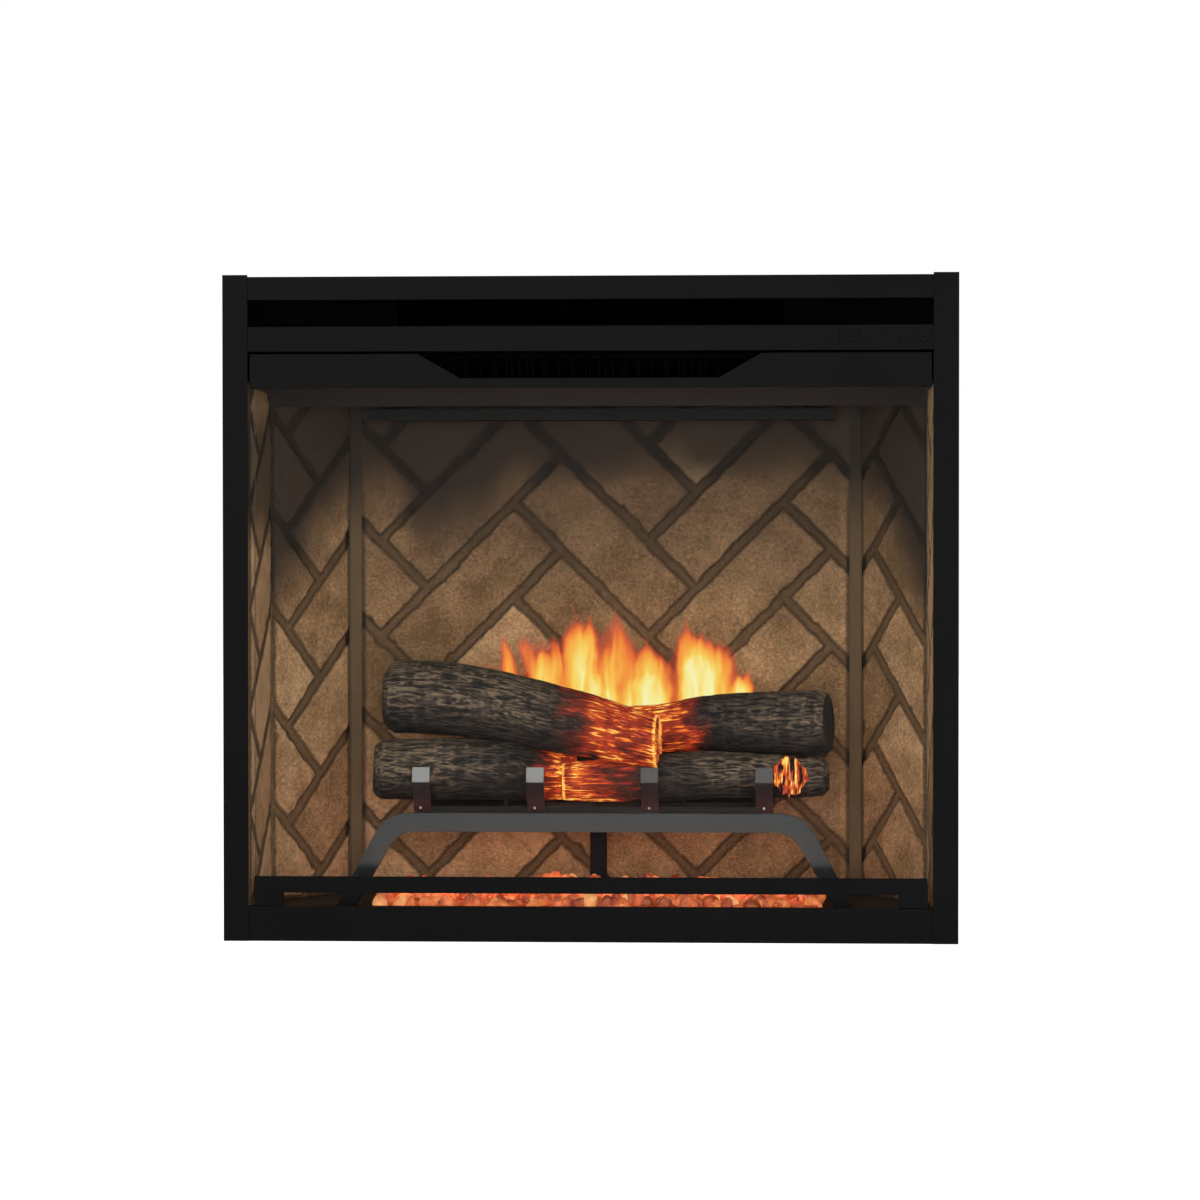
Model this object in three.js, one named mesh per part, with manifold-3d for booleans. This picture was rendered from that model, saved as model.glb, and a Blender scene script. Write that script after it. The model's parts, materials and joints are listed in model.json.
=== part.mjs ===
// A built-in electric fireplace insert: steel casing, herringbone firebox, lit log set,
// removable glass front and a fan heater behind the upper rails.
// Millimetres, +Z up, front towards -Y, origin at the centre of the underside.
import * as THREE from 'three';
import { mergeVertices } from 'three/addons/utils/BufferGeometryUtils.js';
import Module from 'manifold-3d';

const wasm = await Module();
wasm.setup();

// ---------------------------------------------------------------- driving dimensions
// Depths, written y, count back from the front plane of the stiles.
const overall = { width: 972, height: 881.5, depth: 341 };
const seam = 0.3; // between two pieces that touch
const past = 1; // how far a cutter or a joined piece runs beyond a face

// Places that follow the casing: each number is a distance down from its top, in from its side or
// forward from its rear.
const placed = (distances, place) => Object.fromEntries(Object.entries(distances).map(
  ([name, value]) => [name, Array.isArray(value) ? value.map(place) : place(value)],
));
const fromTop = (drops) => placed(drops, (drop) => overall.height - drop);
const fromSide = (insets) => placed(insets, (inset) => overall.width / 2 - inset);
const fromRear = (gaps) => placed(gaps, (gap) => overall.depth - gap);

const casing = { sheet: 1.2, flange: 15, topDrop: 4.3 };
const stile = { face: 33.5, sheet: 1.5, returnDepth: 25 };
const rail = { sheet: 1.5, fold: 15 };
const bottomRail = { low: 0, high: 46.2 };
const heaterRail = fromTop({ low: 101.2, high: 68.5 });
const topRail = fromTop({ low: 33.2, high: 2.5 });
const intake = { halfWidth: 256, sheet: 1.2, strip: 6 };
const glassFront = {
  setback: 4, sheet: 1.5, sideGap: 1.9, pane: 4,
  notchTop: 227.2, notchBottom: 170.8, barLow: 64, barHigh: 86, barLip: 16, footWidth: 38.6,
  ...fromTop({ plateLow: 149.8, plateHigh: 104.5, notchFloor: 136.8, paneTop: 140 }),
  ...fromSide({ paneHalf: 41, barHalf: 40.4 }),
};
const hearth = {
  top: 39, sheet: 1.2, front: 20, slotHalf: 300, slotFront: 229, slotRear: 261,
  ...fromRear({ rear: 7 }), ...fromSide({ halfWidth: 8 }),
};
const brick = { pitch: 95.3, length: 267.9, joint: 11.5, relief: 3, slab: 7, edge: 4, smallest: 150 };
// Where a corner of the brick pattern falls on each wall: distance along the wall, then height.
const lattice = { back: [128.5, 63.5], rearLeft: [92, 74], rearRight: [126, 119], front: [61, 102] };
const wall = {
  frontStart: 17.6, cornerDepth: 150, rearStart: 155,
  ...fromSide({ backHalf: 136, frontHalf: 34.5, cornerHalf: 38.5, rearHalf: 45, rearEndHalf: 126.5 }),
  ...fromRear({ back: 55 }), ...fromTop({ top: 152, frontTop: 141.2 }),
};
const trim = { sheet: 1, lap: 3.5, ...fromSide({ inner: 142.5 }) };
const hood = {
  sheet: 1.2, front: 17, bend: 122, edge: 150,
  ...fromTop({ bendHeight: 140.5, edgeHeight: 165.5, ceiling: 150.5 }),
  ...fromRear({ rear: 5 }), ...fromSide({ halfWidth: 16 }),
};
const downlight = { front: 38, depth: 13, thick: 4, ...fromSide({ halfLength: 86 }) };
const flamePanel = { y: 208, thick: 3, halfWidth: 330, ...fromTop({ top: 175.5 }) };
const topChannel = { halfWidth: 323, front: 196, rear: 220, tab: 30, ...fromTop({ low: 182, high: 166 }) };
const emberBed = {
  halfWidth: 306, front: 46, rear: 178, frontTop: 47, crest: 72, wall: 7, lump: 10, rows: 4, columns: 16,
};
const ledBoard = { thick: 1.6 };
const rod = {
  y: 245, z: 20, shaft: 2.5, from: -334, to: 316, reach: 13,
  vanes: 22, vaneSpan: 300, vaneLength: 22, vaneThick: 0.8, vaneTurn: 50,
};
const rodMotor = { radius: 15, length: 18, shaftLength: 6, footHalf: 7, footTop: 9 };
const rodBearing = { x: [-332, -324], half: 9, top: 29, clearance: 0.4 };
const grate = {
  front: 85, bar: 12, top: 164.8, height: 25.3, flatHalf: 250, bendX: 284, kneeX: 300, kneeZ: 131,
  footHalf: 348.5, legWidth: 25, kneeWidth: 22.5, bendWidth: 20, flatInset: 7,
};
const logShelf = {
  sheet: 2, lip: 25, top: 173, halfWidth: 242, rear: 203, back: 70,
  pin: 2, pinSpacing: 120.5, pinY: 114, pinTop: 190,
};
const rearLeg = { halfWidth: 11.4, thick: 6, y: 185 };
const prong = {
  count: 4, spacing: 153.8, width: 23.5, thick: 5,
  foot: 96.5, lean: 73.5, shoulder: 207.5, tipLean: 77.5, tip: 226.5,
};
const logSet = { centre: -1.7, sides: 14, saddle: 0.4, pinGap: 0.3, roughness: 0.025 };
// Each log is a row of [x, y, z, radius] stations along its axis.
const logs = {
  upper_left: [
    [-287, 145, 318, 40], [-276, 144, 319, 49], [-226, 138, 319, 50], [-158, 130, 312, 49],
    [-76, 118, 296, 47], [5, 106, 279, 42.5], [60, 97, 266, 37.5], [81, 93, 262, 37],
  ],
  upper_right: [
    [40, 168, 276, 30], [91, 160, 277, 33], [138, 150, 283, 36.5], [219, 132, 285, 42],
    [300, 114, 286, 44], [315, 111, 286, 40],
  ],
  lower_left: [
    [-302, 118, 222, 33], [-291, 118, 222, 40], [-200, 124, 222, 42], [-110, 132, 221, 42],
    [-70, 140, 215, 36], [-30, 148, 212, 30],
  ],
  lower_right: [
    [-44, 110, 206, 25.5], [5, 110, 208, 28], [75, 112, 211, 31], [141, 114, 215, 32],
    [195, 118, 215, 30], [270, 121, 214, 29], [306, 122, 214, 26], [315, 122, 214, 20],
  ],
};
const branch = { x: 262, z: 213, front: 86, root: 116, tip: 20, base: 25 };
const logBoard = { x: [-80, 150], z: [205, 240] };
const emberBoard = { halfLength: 285, y: [75, 160] };
const flameBoard = { halfLength: 290, y: [208, 224] };
const duct = {
  halfWidth: 222, sheet: 1.2, tongue: 136, lipDepth: 142, ...fromTop({ roof: 102.5, lipHeight: 93.5 }),
};
const blower = {
  y: 176, radius: 31, halfLength: 214, disc: 3, shaft: 4, hub: 9, hubOut: 2, hubIn: 8,
  blades: 18, blade: 6.5, bladeThick: 1.6, bladeTilt: 0.5, rim: 0.5,
  scrollTop: 40, scrollEnd: 100, scrollStep: 19, ...fromTop({ z: 81.5 }),
};
const blowerMotor = { radius: 28, length: 52, socket: 10 };
const endPlate = { sheet: 1.5, rear: 240, ...fromTop({ high: 35.5 }) };
const element = { halfLength: 205, front: 62, rear: 92, bar: 4, fins: 24, fin: 1.2 };
const cutout = { x: 110, y: 70, radius: 9, height: 7 };
const grille = { y: 20, sheet: 1.5, half: 231, border: 4, bars: 22, bar: 3, ...fromTop({ high: 103.5 }) };
const button = {
  radius: 4, flange: 5.6, flangeThick: 1, proud: 1.2, travel: 1.2, clearance: 0.3,
  ...fromSide({ x: [73, 59.5, 46] }), ...fromTop({ z: 88 }),
};
const board = { y: 13.5, thick: 1.6, switchHalf: 3, switchDepth: 2.3, ...fromSide({ x: [166, 36] }) };
const lens = {
  proud: 0.8, depth: 7, clearance: 0.3, ...fromSide({ x: [158, 131] }), ...fromTop({ z: [89.5, 75.5] }),
};
const junction = { top: 105, wall: 1.5, ...fromSide({ x: [82, 12] }), ...fromRear({ y: [79, 11] }) };
const clamp = { z: 76, radius: 10.5, flange: 14, flangeThick: 1.2, bore: 6.5, ...fromRear({ y: 41 }) };

// ---------------------------------------------------------------- materials
const finish = (color, roughness, metalness, opacity = 1) => new THREE.MeshStandardMaterial({
  color, roughness, metalness, opacity, transparent: opacity < 1,
});
const paint = finish(0x1b1c1d, 0.55, 0.3);
const galvanised = finish(0x9a9d9f, 0.5, 0.9);
const hoodPaint = finish(0x2c2622, 0.7, 0.2);
const brickFace = finish(0x8a6a4b, 0.9, 0);
const trimPaint = finish(0x665038, 0.7, 0.2);
const clearGlass = finish(0xdfe8e8, 0.05, 0, 0.2);
const acrylic = finish(0xe8eef0, 0.1, 0, 0.2);
const bark = finish(0x4a423a, 0.9, 0);
const ember = finish(0xe86a30, 0.6, 0);
const grateSteel = finish(0x4b4b4b, 0.5, 0.6);
const circuit = finish(0x2d5a3a, 0.6, 0.1);
const mirrorFoil = finish(0xd8dadc, 0.15, 1);
const plastic = finish(0x151515, 0.4, 0);
const darkLens = finish(0x1a0c10, 0.15, 0);
const motorSteel = finish(0x77797b, 0.4, 0.8);
const aluminium = finish(0xb0b3b5, 0.35, 0.9);
const blackenedMetal = finish(0x262627, 0.6, 0.7);

// ---------------------------------------------------------------- geometry helpers
const polygon = (points) => new THREE.Shape(points.map(([u, v]) => new THREE.Vector2(u, v)));
const asShape = (outline) => (outline instanceof THREE.Shape ? outline : polygon(outline));

// Puts a shape drawn in (u, v) and extruded along w on the axes that the basis names.
function extruded(outline, from, to, u, v, w) {
  const settings = { depth: to - from, bevelEnabled: false, curveSegments: 8 };
  const geometry = new THREE.ExtrudeGeometry(asShape(outline), settings);
  geometry.translate(0, 0, from);
  return geometry.applyMatrix4(new THREE.Matrix4().makeBasis(u, v, w));
}
const X = new THREE.Vector3(1, 0, 0);
const Y = new THREE.Vector3(0, 1, 0);
const Z = new THREE.Vector3(0, 0, 1);
const alongX = (outlineYZ, from, to) => extruded(outlineYZ, from, to, Y, Z, X);
const alongY = (outlineXZ, from, to) => extruded(outlineXZ, -to, -from, X, Z, Y.clone().negate());
const alongZ = (outlineXY, from, to) => extruded(outlineXY, from, to, X, Y, Z);

function block([x0, x1], [y0, y1], [z0, z1]) {
  const geometry = new THREE.BoxGeometry(x1 - x0, y1 - y0, z1 - z0);
  return geometry.translate((x0 + x1) / 2, (y0 + y1) / 2, (z0 + z1) / 2);
}

// A cylinder or tube turned about a line parallel to X, from a profile of [radius, x] points.
function turnedX(profile, y, z, sides = 20) {
  const lathe = new THREE.LatheGeometry(profile.map(([r, x]) => new THREE.Vector2(r, x)), sides);
  return lathe.applyMatrix4(new THREE.Matrix4().makeBasis(Y, X, Z.clone().negate())).translate(0, y, z);
}
const pinX = (radius, from, to, y, z, sides) => (
  turnedX([[0, from], [radius, from], [radius, to], [0, to]], y, z, sides));

// A cylinder along Y or Z.
function pinY(radius, x, from, to, z, sides = 16) {
  return new THREE.CylinderGeometry(radius, radius, to - from, sides).translate(x, (from + to) / 2, z);
}
function pinZ(radius, x, y, from, to, sides = 8) {
  return new THREE.CylinderGeometry(radius, radius, to - from, sides)
    .rotateX(Math.PI / 2).translate(x, y, (from + to) / 2);
}

// The closed outline of a sheet that follows a bent path, with its thickness to the left of travel.
function foldedSheet(path, thickness) {
  const directions = path.slice(1).map(([u, v], i) => (
    new THREE.Vector2(u - path[i][0], v - path[i][1]).normalize()));
  const inner = path.map(([u, v], i) => {
    const before = directions[Math.max(i - 1, 0)];
    const after = directions[Math.min(i, directions.length - 1)];
    const normal = new THREE.Vector2(-before.y - after.y, before.x + after.x);
    const reach = (2 * thickness) / normal.lengthSq();
    return [u + normal.x * reach, v + normal.y * reach];
  });
  const outline = [...path, ...inner.reverse()];
  return THREE.ShapeUtils.area(outline.map(([x, y]) => ({ x, y }))) < 0 ? outline.reverse() : outline;
}

function toSolid(geometry) {
  const bare = geometry.clone();
  bare.deleteAttribute('normal');
  bare.deleteAttribute('uv');
  const merged = mergeVertices(bare);
  return new wasm.Manifold(new wasm.Mesh({
    numProp: 3, vertProperties: merged.attributes.position.array, triVerts: new Uint32Array(merged.index.array),
  }));
}
function toGeometry(solid) {
  const mesh = solid.getMesh();
  const geometry = new THREE.BufferGeometry();
  geometry.setAttribute('position', new THREE.BufferAttribute(new Float32Array(mesh.vertProperties), 3));
  geometry.setIndex(new THREE.BufferAttribute(new Uint32Array(mesh.triVerts), 1));
  geometry.computeVertexNormals();
  return geometry;
}
const join = (...pieces) => toGeometry(pieces.map(toSolid).reduce((whole, piece) => whole.add(piece)));
const cut = (piece, ...tools) => (
  toGeometry(tools.map(toSolid).reduce((rest, tool) => rest.subtract(tool), toSolid(piece))));
const mirrored = (geometry) => {
  const flipped = geometry.index ? geometry.toNonIndexed() : geometry.clone();
  flipped.scale(-1, 1, 1);
  const position = flipped.attributes.position;
  for (let i = 0; i < position.count; i += 3) {
    const [x, y, z] = [position.getX(i), position.getY(i), position.getZ(i)];
    position.setXYZ(i, position.getX(i + 2), position.getY(i + 2), position.getZ(i + 2));
    position.setXYZ(i + 2, x, y, z);
  }
  flipped.computeVertexNormals();
  return flipped;
};

// ---------------------------------------------------------------- the assembly
const insert = new THREE.Group();
insert.position.y = -overall.depth / 2;
function add(name, geometry, material) {
  const mesh = new THREE.Mesh(geometry, material);
  mesh.name = name;
  insert.add(mesh);
  return mesh;
}

const half = overall.width / 2;
const railHalf = half - stile.sheet - seam - casing.sheet;
const sideOuter = half - stile.sheet - seam;
const sideInner = sideOuter - casing.sheet;
const railFront = stile.sheet + seam;
const railBack = railFront + rail.sheet;
const casingFront = railBack + seam;
const rearInner = overall.depth - casing.sheet;
const casingTop = overall.height - casing.topDrop;

// Casing: five sheet panels.
function makeCasing() {
  const innerHalf = sideInner - seam;
  const basePath = [[-innerHalf, casing.flange], [-innerHalf, 0], [innerHalf, 0], [innerHalf, casing.flange]];
  add('base_pan', alongY(foldedSheet(basePath, casing.sheet), casingFront, rearInner - seam), galvanised);
  const topPath = [
    [innerHalf, casingTop - casing.flange], [innerHalf, casingTop], [-innerHalf, casingTop],
    [-innerHalf, casingTop - casing.flange],
  ];
  const topSheet = foldedSheet(topPath, casing.sheet);
  add('top_panel', alongY(topSheet, casingFront, rearInner - seam), galvanised);
  add('rear_panel', block([-sideOuter, sideOuter], [rearInner, overall.depth], [0, casingTop]), galvanised);
  const side = block([sideInner, sideOuter], [casingFront, rearInner - seam], [0, casingTop]);
  const knockout = pinX(clamp.radius + seam, sideInner - past, sideOuter + past, clamp.y, clamp.z);
  add('left_side_panel', mirrored(side), galvanised);
  add('right_side_panel', cut(side, knockout), galvanised);
}

// Front frame: two angle stiles, three folded rails and the two intake baffles.
function makeFrontFrame() {
  const stilePath = [[half - stile.face, 0], [half, 0], [half, stile.returnDepth]];
  const rightStile = alongZ(foldedSheet(stilePath, stile.sheet), 0, overall.height);
  add('left_stile', mirrored(rightStile), paint);
  add('right_stile', rightStile, paint);

  const channel = (low, high) => foldedSheet([
    [railFront + rail.fold, low], [railFront, low], [railFront, high], [railFront + rail.fold, high],
  ].reverse(), rail.sheet);
  const holeRadius = button.radius + button.clearance;
  const openings = [
    ...button.x.map((x) => pinY(holeRadius, x, railFront - past, railBack + past, button.z)),
    block(
      [lens.x[0] - lens.clearance, lens.x[1] + lens.clearance], [railFront - past, railBack + past],
      [lens.z[0] - lens.clearance, lens.z[1] + lens.clearance],
    ),
  ];
  add('top_rail', alongX(channel(topRail.low, topRail.high), -railHalf, railHalf), paint);
  const lowerChannel = alongX(channel(heaterRail.low, heaterRail.high), -railHalf, railHalf);
  add('heater_rail', cut(lowerChannel, ...openings), paint);
  const lowerPath = [
    [railFront, casing.sheet + seam], [railFront, bottomRail.high], [railFront + rail.fold, bottomRail.high],
  ];
  const lowerRail = alongX(foldedSheet(lowerPath.reverse(), rail.sheet), -railHalf, railHalf);
  const toe = block([-railHalf, railHalf], [railFront, railBack], [bottomRail.low, casing.sheet + seam]);
  add('bottom_rail', join(lowerRail, toe), paint);

  const low = heaterRail.high - intake.strip;
  const high = topRail.low + intake.strip;
  const plateY = [railFront + rail.fold + seam, railFront + rail.fold + seam + intake.sheet];
  const baffle = block([intake.halfWidth, railHalf], plateY, [low, high]);
  add('intake_baffle_left', mirrored(baffle), paint);
  add('intake_baffle_right', baffle, paint);
}

// Removable glass front: notched top plate, pane and bottom bracket on two feet.
const glassY = glassFront.setback;
const glassPaneFront = glassY + glassFront.sheet + seam;
const glassPaneBack = glassPaneFront + glassFront.pane;
const footBottom = bottomRail.high + seam;
function makeGlassFront() {
  const plateHalf = half - stile.face - glassFront.sideGap;
  const plate = [
    [-plateHalf, glassFront.plateLow], [plateHalf, glassFront.plateLow], [plateHalf, glassFront.plateHigh],
    [glassFront.notchTop, glassFront.plateHigh], [glassFront.notchBottom, glassFront.notchFloor],
    [-glassFront.notchBottom, glassFront.notchFloor], [-glassFront.notchTop, glassFront.plateHigh],
    [-plateHalf, glassFront.plateHigh],
  ];
  add('glass_top_plate', alongY(plate, glassY, glassY + glassFront.sheet), paint);
  const paneLow = glassFront.barLow + glassFront.sheet + seam;
  add('glass_pane', block(
    [-glassFront.paneHalf, glassFront.paneHalf], [glassPaneFront, glassPaneBack], [paneLow, glassFront.paneTop],
  ), clearGlass);
  const lipBack = glassPaneBack + seam + glassFront.sheet;
  const bracketPath = [
    [glassY, glassFront.barHigh], [glassY, glassFront.barLow], [lipBack, glassFront.barLow],
    [lipBack, glassFront.barLow + glassFront.barLip],
  ];
  const bar = alongX(foldedSheet(bracketPath, glassFront.sheet), -glassFront.barHalf, glassFront.barHalf);
  const foot = (side) => {
    const outer = side * glassFront.barHalf;
    const inner = side * (glassFront.barHalf - glassFront.footWidth);
    const span = [Math.min(outer, inner), Math.max(outer, inner)];
    return block(span, [glassY, lipBack], [footBottom, glassFront.barLow + past]);
  };
  add('glass_bottom_bracket', join(bar, foot(-1), foot(1)), paint);
}

// Firebox: hearth floor, herringbone walls, corner trims and hood.
const slope = Math.SQRT1_2;

// Bricks of a herringbone laid at 45 degrees, clipped to a convex outline and cut back by the joint.
// The pattern stands on a node; a turn of -1 sets it upside down.
function herringbone(outline, [nodeU, nodeV], turn) {
  const gap = brick.joint / 2;
  const bricks = [];
  const us = outline.map(([u]) => u);
  const vs = outline.map(([, v]) => v);
  const reach = Math.max(...us.map((u) => Math.abs(u - nodeU)), ...vs.map((v) => Math.abs(v - nodeV)));
  const band = Math.ceil(reach / brick.length) + 1;
  const step = Math.ceil(reach / brick.pitch) + 2;
  for (let b = -band; b <= band; b += 1) {
    for (let k = -step; k <= step; k += 1) {
      const [originA, originB] = [k * brick.pitch - b * brick.length, k * brick.pitch + b * brick.length];
      const pair = [
        [originA, originA + brick.length, originB, originB + brick.pitch],
        [originA - brick.pitch, originA, originB, originB + brick.length],
      ];
      for (const [a0, a1, b0, b1] of pair) {
        const corners = [
          [a0 + gap, b0 + gap], [a1 - gap, b0 + gap], [a1 - gap, b1 - gap], [a0 + gap, b1 - gap],
        ].map(([a, c]) => [nodeU + turn * (a - c) * slope, nodeV + turn * (a + c) * slope]);
        const piece = clipped(corners, outline);
        if (piece.length > 2 && areaOf(piece) > brick.smallest) bricks.push(piece);
      }
    }
  }
  return bricks;
}
const areaOf = (points) => THREE.ShapeUtils.area(points.map(([x, y]) => ({ x, y })));

// Keeps what of a convex polygon lies inside a convex outline drawn counter-clockwise.
function clipped(subject, outline) {
  let points = subject;
  outline.forEach(([u0, v0], i) => {
    const [u1, v1] = outline[(i + 1) % outline.length];
    const side = ([u, v]) => (u1 - u0) * (v - v0) - (v1 - v0) * (u - u0);
    const kept = [];
    points.forEach((p, j) => {
      const q = points[(j + 1) % points.length];
      const [sp, sq] = [side(p), side(q)];
      if (sp >= 0) kept.push(p);
      if (sp * sq < 0) {
        const t = sp / (sp - sq);
        kept.push([p[0] + (q[0] - p[0]) * t, p[1] + (q[1] - p[1]) * t]);
      }
    });
    points = kept;
  });
  return points;
}

// Moves each side of a convex outline inwards.
function insetBy(outline, distance) {
  const count = outline.length;
  return outline.map((corner, i) => {
    const before = outline[(i + count - 1) % count];
    const after = outline[(i + 1) % count];
    const a = new THREE.Vector2(corner[0] - before[0], corner[1] - before[1]).normalize();
    const b = new THREE.Vector2(after[0] - corner[0], after[1] - corner[1]).normalize();
    const normal = new THREE.Vector2(-a.y - b.y, a.x + b.x);
    const reach = (2 * distance) / normal.lengthSq();
    return [corner[0] + normal.x * reach, corner[1] + normal.y * reach];
  });
}

// A slab with raised bricks, drawn in the wall's own plane with its face at w = 0.
function brickPanel(outline, node, turn = 1) {
  const slabFace = -brick.relief;
  const layer = (points, from, to) => extruded(points, from, to, X, Y, Z);
  const bricks = herringbone(insetBy(outline, brick.edge), node, turn);
  const slab = layer(outline, slabFace - brick.slab, slabFace);
  return join(slab, ...bricks.map((points) => layer(points, slabFace - past, 0)));
}

// Stands a panel up: its u axis runs from start to end, v goes up and w faces the viewer's side.
function standing(panel, start, end) {
  const u = end.clone().sub(start).normalize();
  const w = u.clone().cross(Z);
  return panel.applyMatrix4(new THREE.Matrix4().makeBasis(u, Z, w).setPosition(start));
}

function makeFirebox() {
  const low = hearth.top + seam;
  const hearthPath = [
    [hearth.front, casing.sheet + seam], [hearth.front, hearth.top], [hearth.rear, hearth.top],
    [hearth.rear, casing.sheet + seam],
  ];
  const floor = alongX(foldedSheet(hearthPath.reverse(), hearth.sheet), -hearth.halfWidth, hearth.halfWidth);
  const slot = block(
    [-hearth.slotHalf, hearth.slotHalf], [hearth.slotFront, hearth.slotRear],
    [hearth.top - hearth.sheet - past, hearth.top + past],
  );
  add('hearth_floor', cut(floor, slot), hoodPaint);

  const backOutline = [
    [-wall.backHalf, low], [wall.backHalf, low], [wall.backHalf, wall.top], [-wall.backHalf, wall.top],
  ];
  const backPanel = brickPanel(backOutline, lattice.back);
  const centre = new THREE.Vector3(0, wall.back, 0);
  add('brick_back_panel', standing(backPanel, centre, centre.clone().add(X)), brickFace);

  const rearStartPoint = new THREE.Vector3(wall.rearHalf, wall.rearStart, 0);
  const rearEndPoint = new THREE.Vector3(wall.rearEndHalf, wall.back, 0);
  const rearLength = rearStartPoint.distanceTo(rearEndPoint);
  const rearOutline = [[0, low], [rearLength, low], [rearLength, wall.top], [0, wall.top]];
  const leftRear = brickPanel(rearOutline, lattice.rearLeft);
  const leftStart = new THREE.Vector3(-wall.rearHalf, wall.rearStart, 0);
  const leftEnd = new THREE.Vector3(-wall.rearEndHalf, wall.back, 0);
  add('brick_rear_left', standing(leftRear, leftStart, leftEnd), brickFace);
  const [fromFront, nodeHeight] = lattice.rearRight;
  const rightRear = brickPanel(rearOutline, [rearLength - fromFront, nodeHeight], -1);
  add('brick_rear_right', standing(rightRear, rearEndPoint, rearStartPoint), brickFace);

  const frontStartPoint = new THREE.Vector3(wall.frontHalf, wall.frontStart, 0);
  const frontEndPoint = new THREE.Vector3(wall.cornerHalf, wall.cornerDepth, 0);
  const frontLength = frontStartPoint.distanceTo(frontEndPoint);
  const hoodFall = (hood.bendHeight - hood.edgeHeight) / (hood.edge - hood.bend);
  const hoodMeets = hood.bend - wall.frontStart - past;
  const edgeTop = wall.frontTop - (frontLength - hoodMeets) * hoodFall;
  const leftFrontOutline = [
    [0, low], [frontLength, low], [frontLength, edgeTop], [hoodMeets, wall.frontTop], [0, wall.frontTop],
  ];
  const leftFrontStart = new THREE.Vector3(-wall.frontHalf, wall.frontStart, 0);
  const leftFrontEnd = new THREE.Vector3(-wall.cornerHalf, wall.cornerDepth, 0);
  const leftFront = brickPanel(leftFrontOutline, lattice.front);
  add('brick_front_left', standing(leftFront, leftFrontStart, leftFrontEnd), brickFace);
  const rightFrontOutline = leftFrontOutline.map(([u, v]) => [frontLength - u, v]).reverse();
  const rightFront = brickPanel(rightFrontOutline, [frontLength - lattice.front[0], lattice.front[1]]);
  add('brick_front_right', standing(rightFront, frontEndPoint, frontStartPoint), brickFace);

  // Angle trims that cover the joint between the back and each splayed wall.
  const splay = leftEnd.clone().sub(leftStart).normalize();
  const trimPath = [
    [-trim.inner, wall.back - seam],
    [-wall.rearEndHalf + splay.y * seam, wall.back - seam],
    [leftEnd.x - splay.x * trim.lap + splay.y * seam, leftEnd.y - splay.y * trim.lap - splay.x * seam],
  ];
  const leftTrim = alongZ(foldedSheet([...trimPath].reverse(), -trim.sheet), low, wall.top);
  add('corner_trim_left', leftTrim, trimPaint);
  add('corner_trim_right', mirrored(leftTrim), trimPaint);

  const hoodPath = [
    [hood.front, hood.bendHeight], [hood.bend, hood.bendHeight], [hood.edge, hood.edgeHeight],
    [hood.edge + 1, hood.ceiling], [hood.rear, hood.ceiling],
  ];
  add('firebox_hood', alongX(foldedSheet(hoodPath, hood.sheet), -hood.halfWidth, hood.halfWidth), hoodPaint);
  add('downlight_strip', block(
    [-downlight.halfLength, downlight.halfLength], [downlight.front, downlight.front + downlight.depth],
    [hood.bendHeight - seam - downlight.thick, hood.bendHeight - seam],
  ), aluminium);
}

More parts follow.
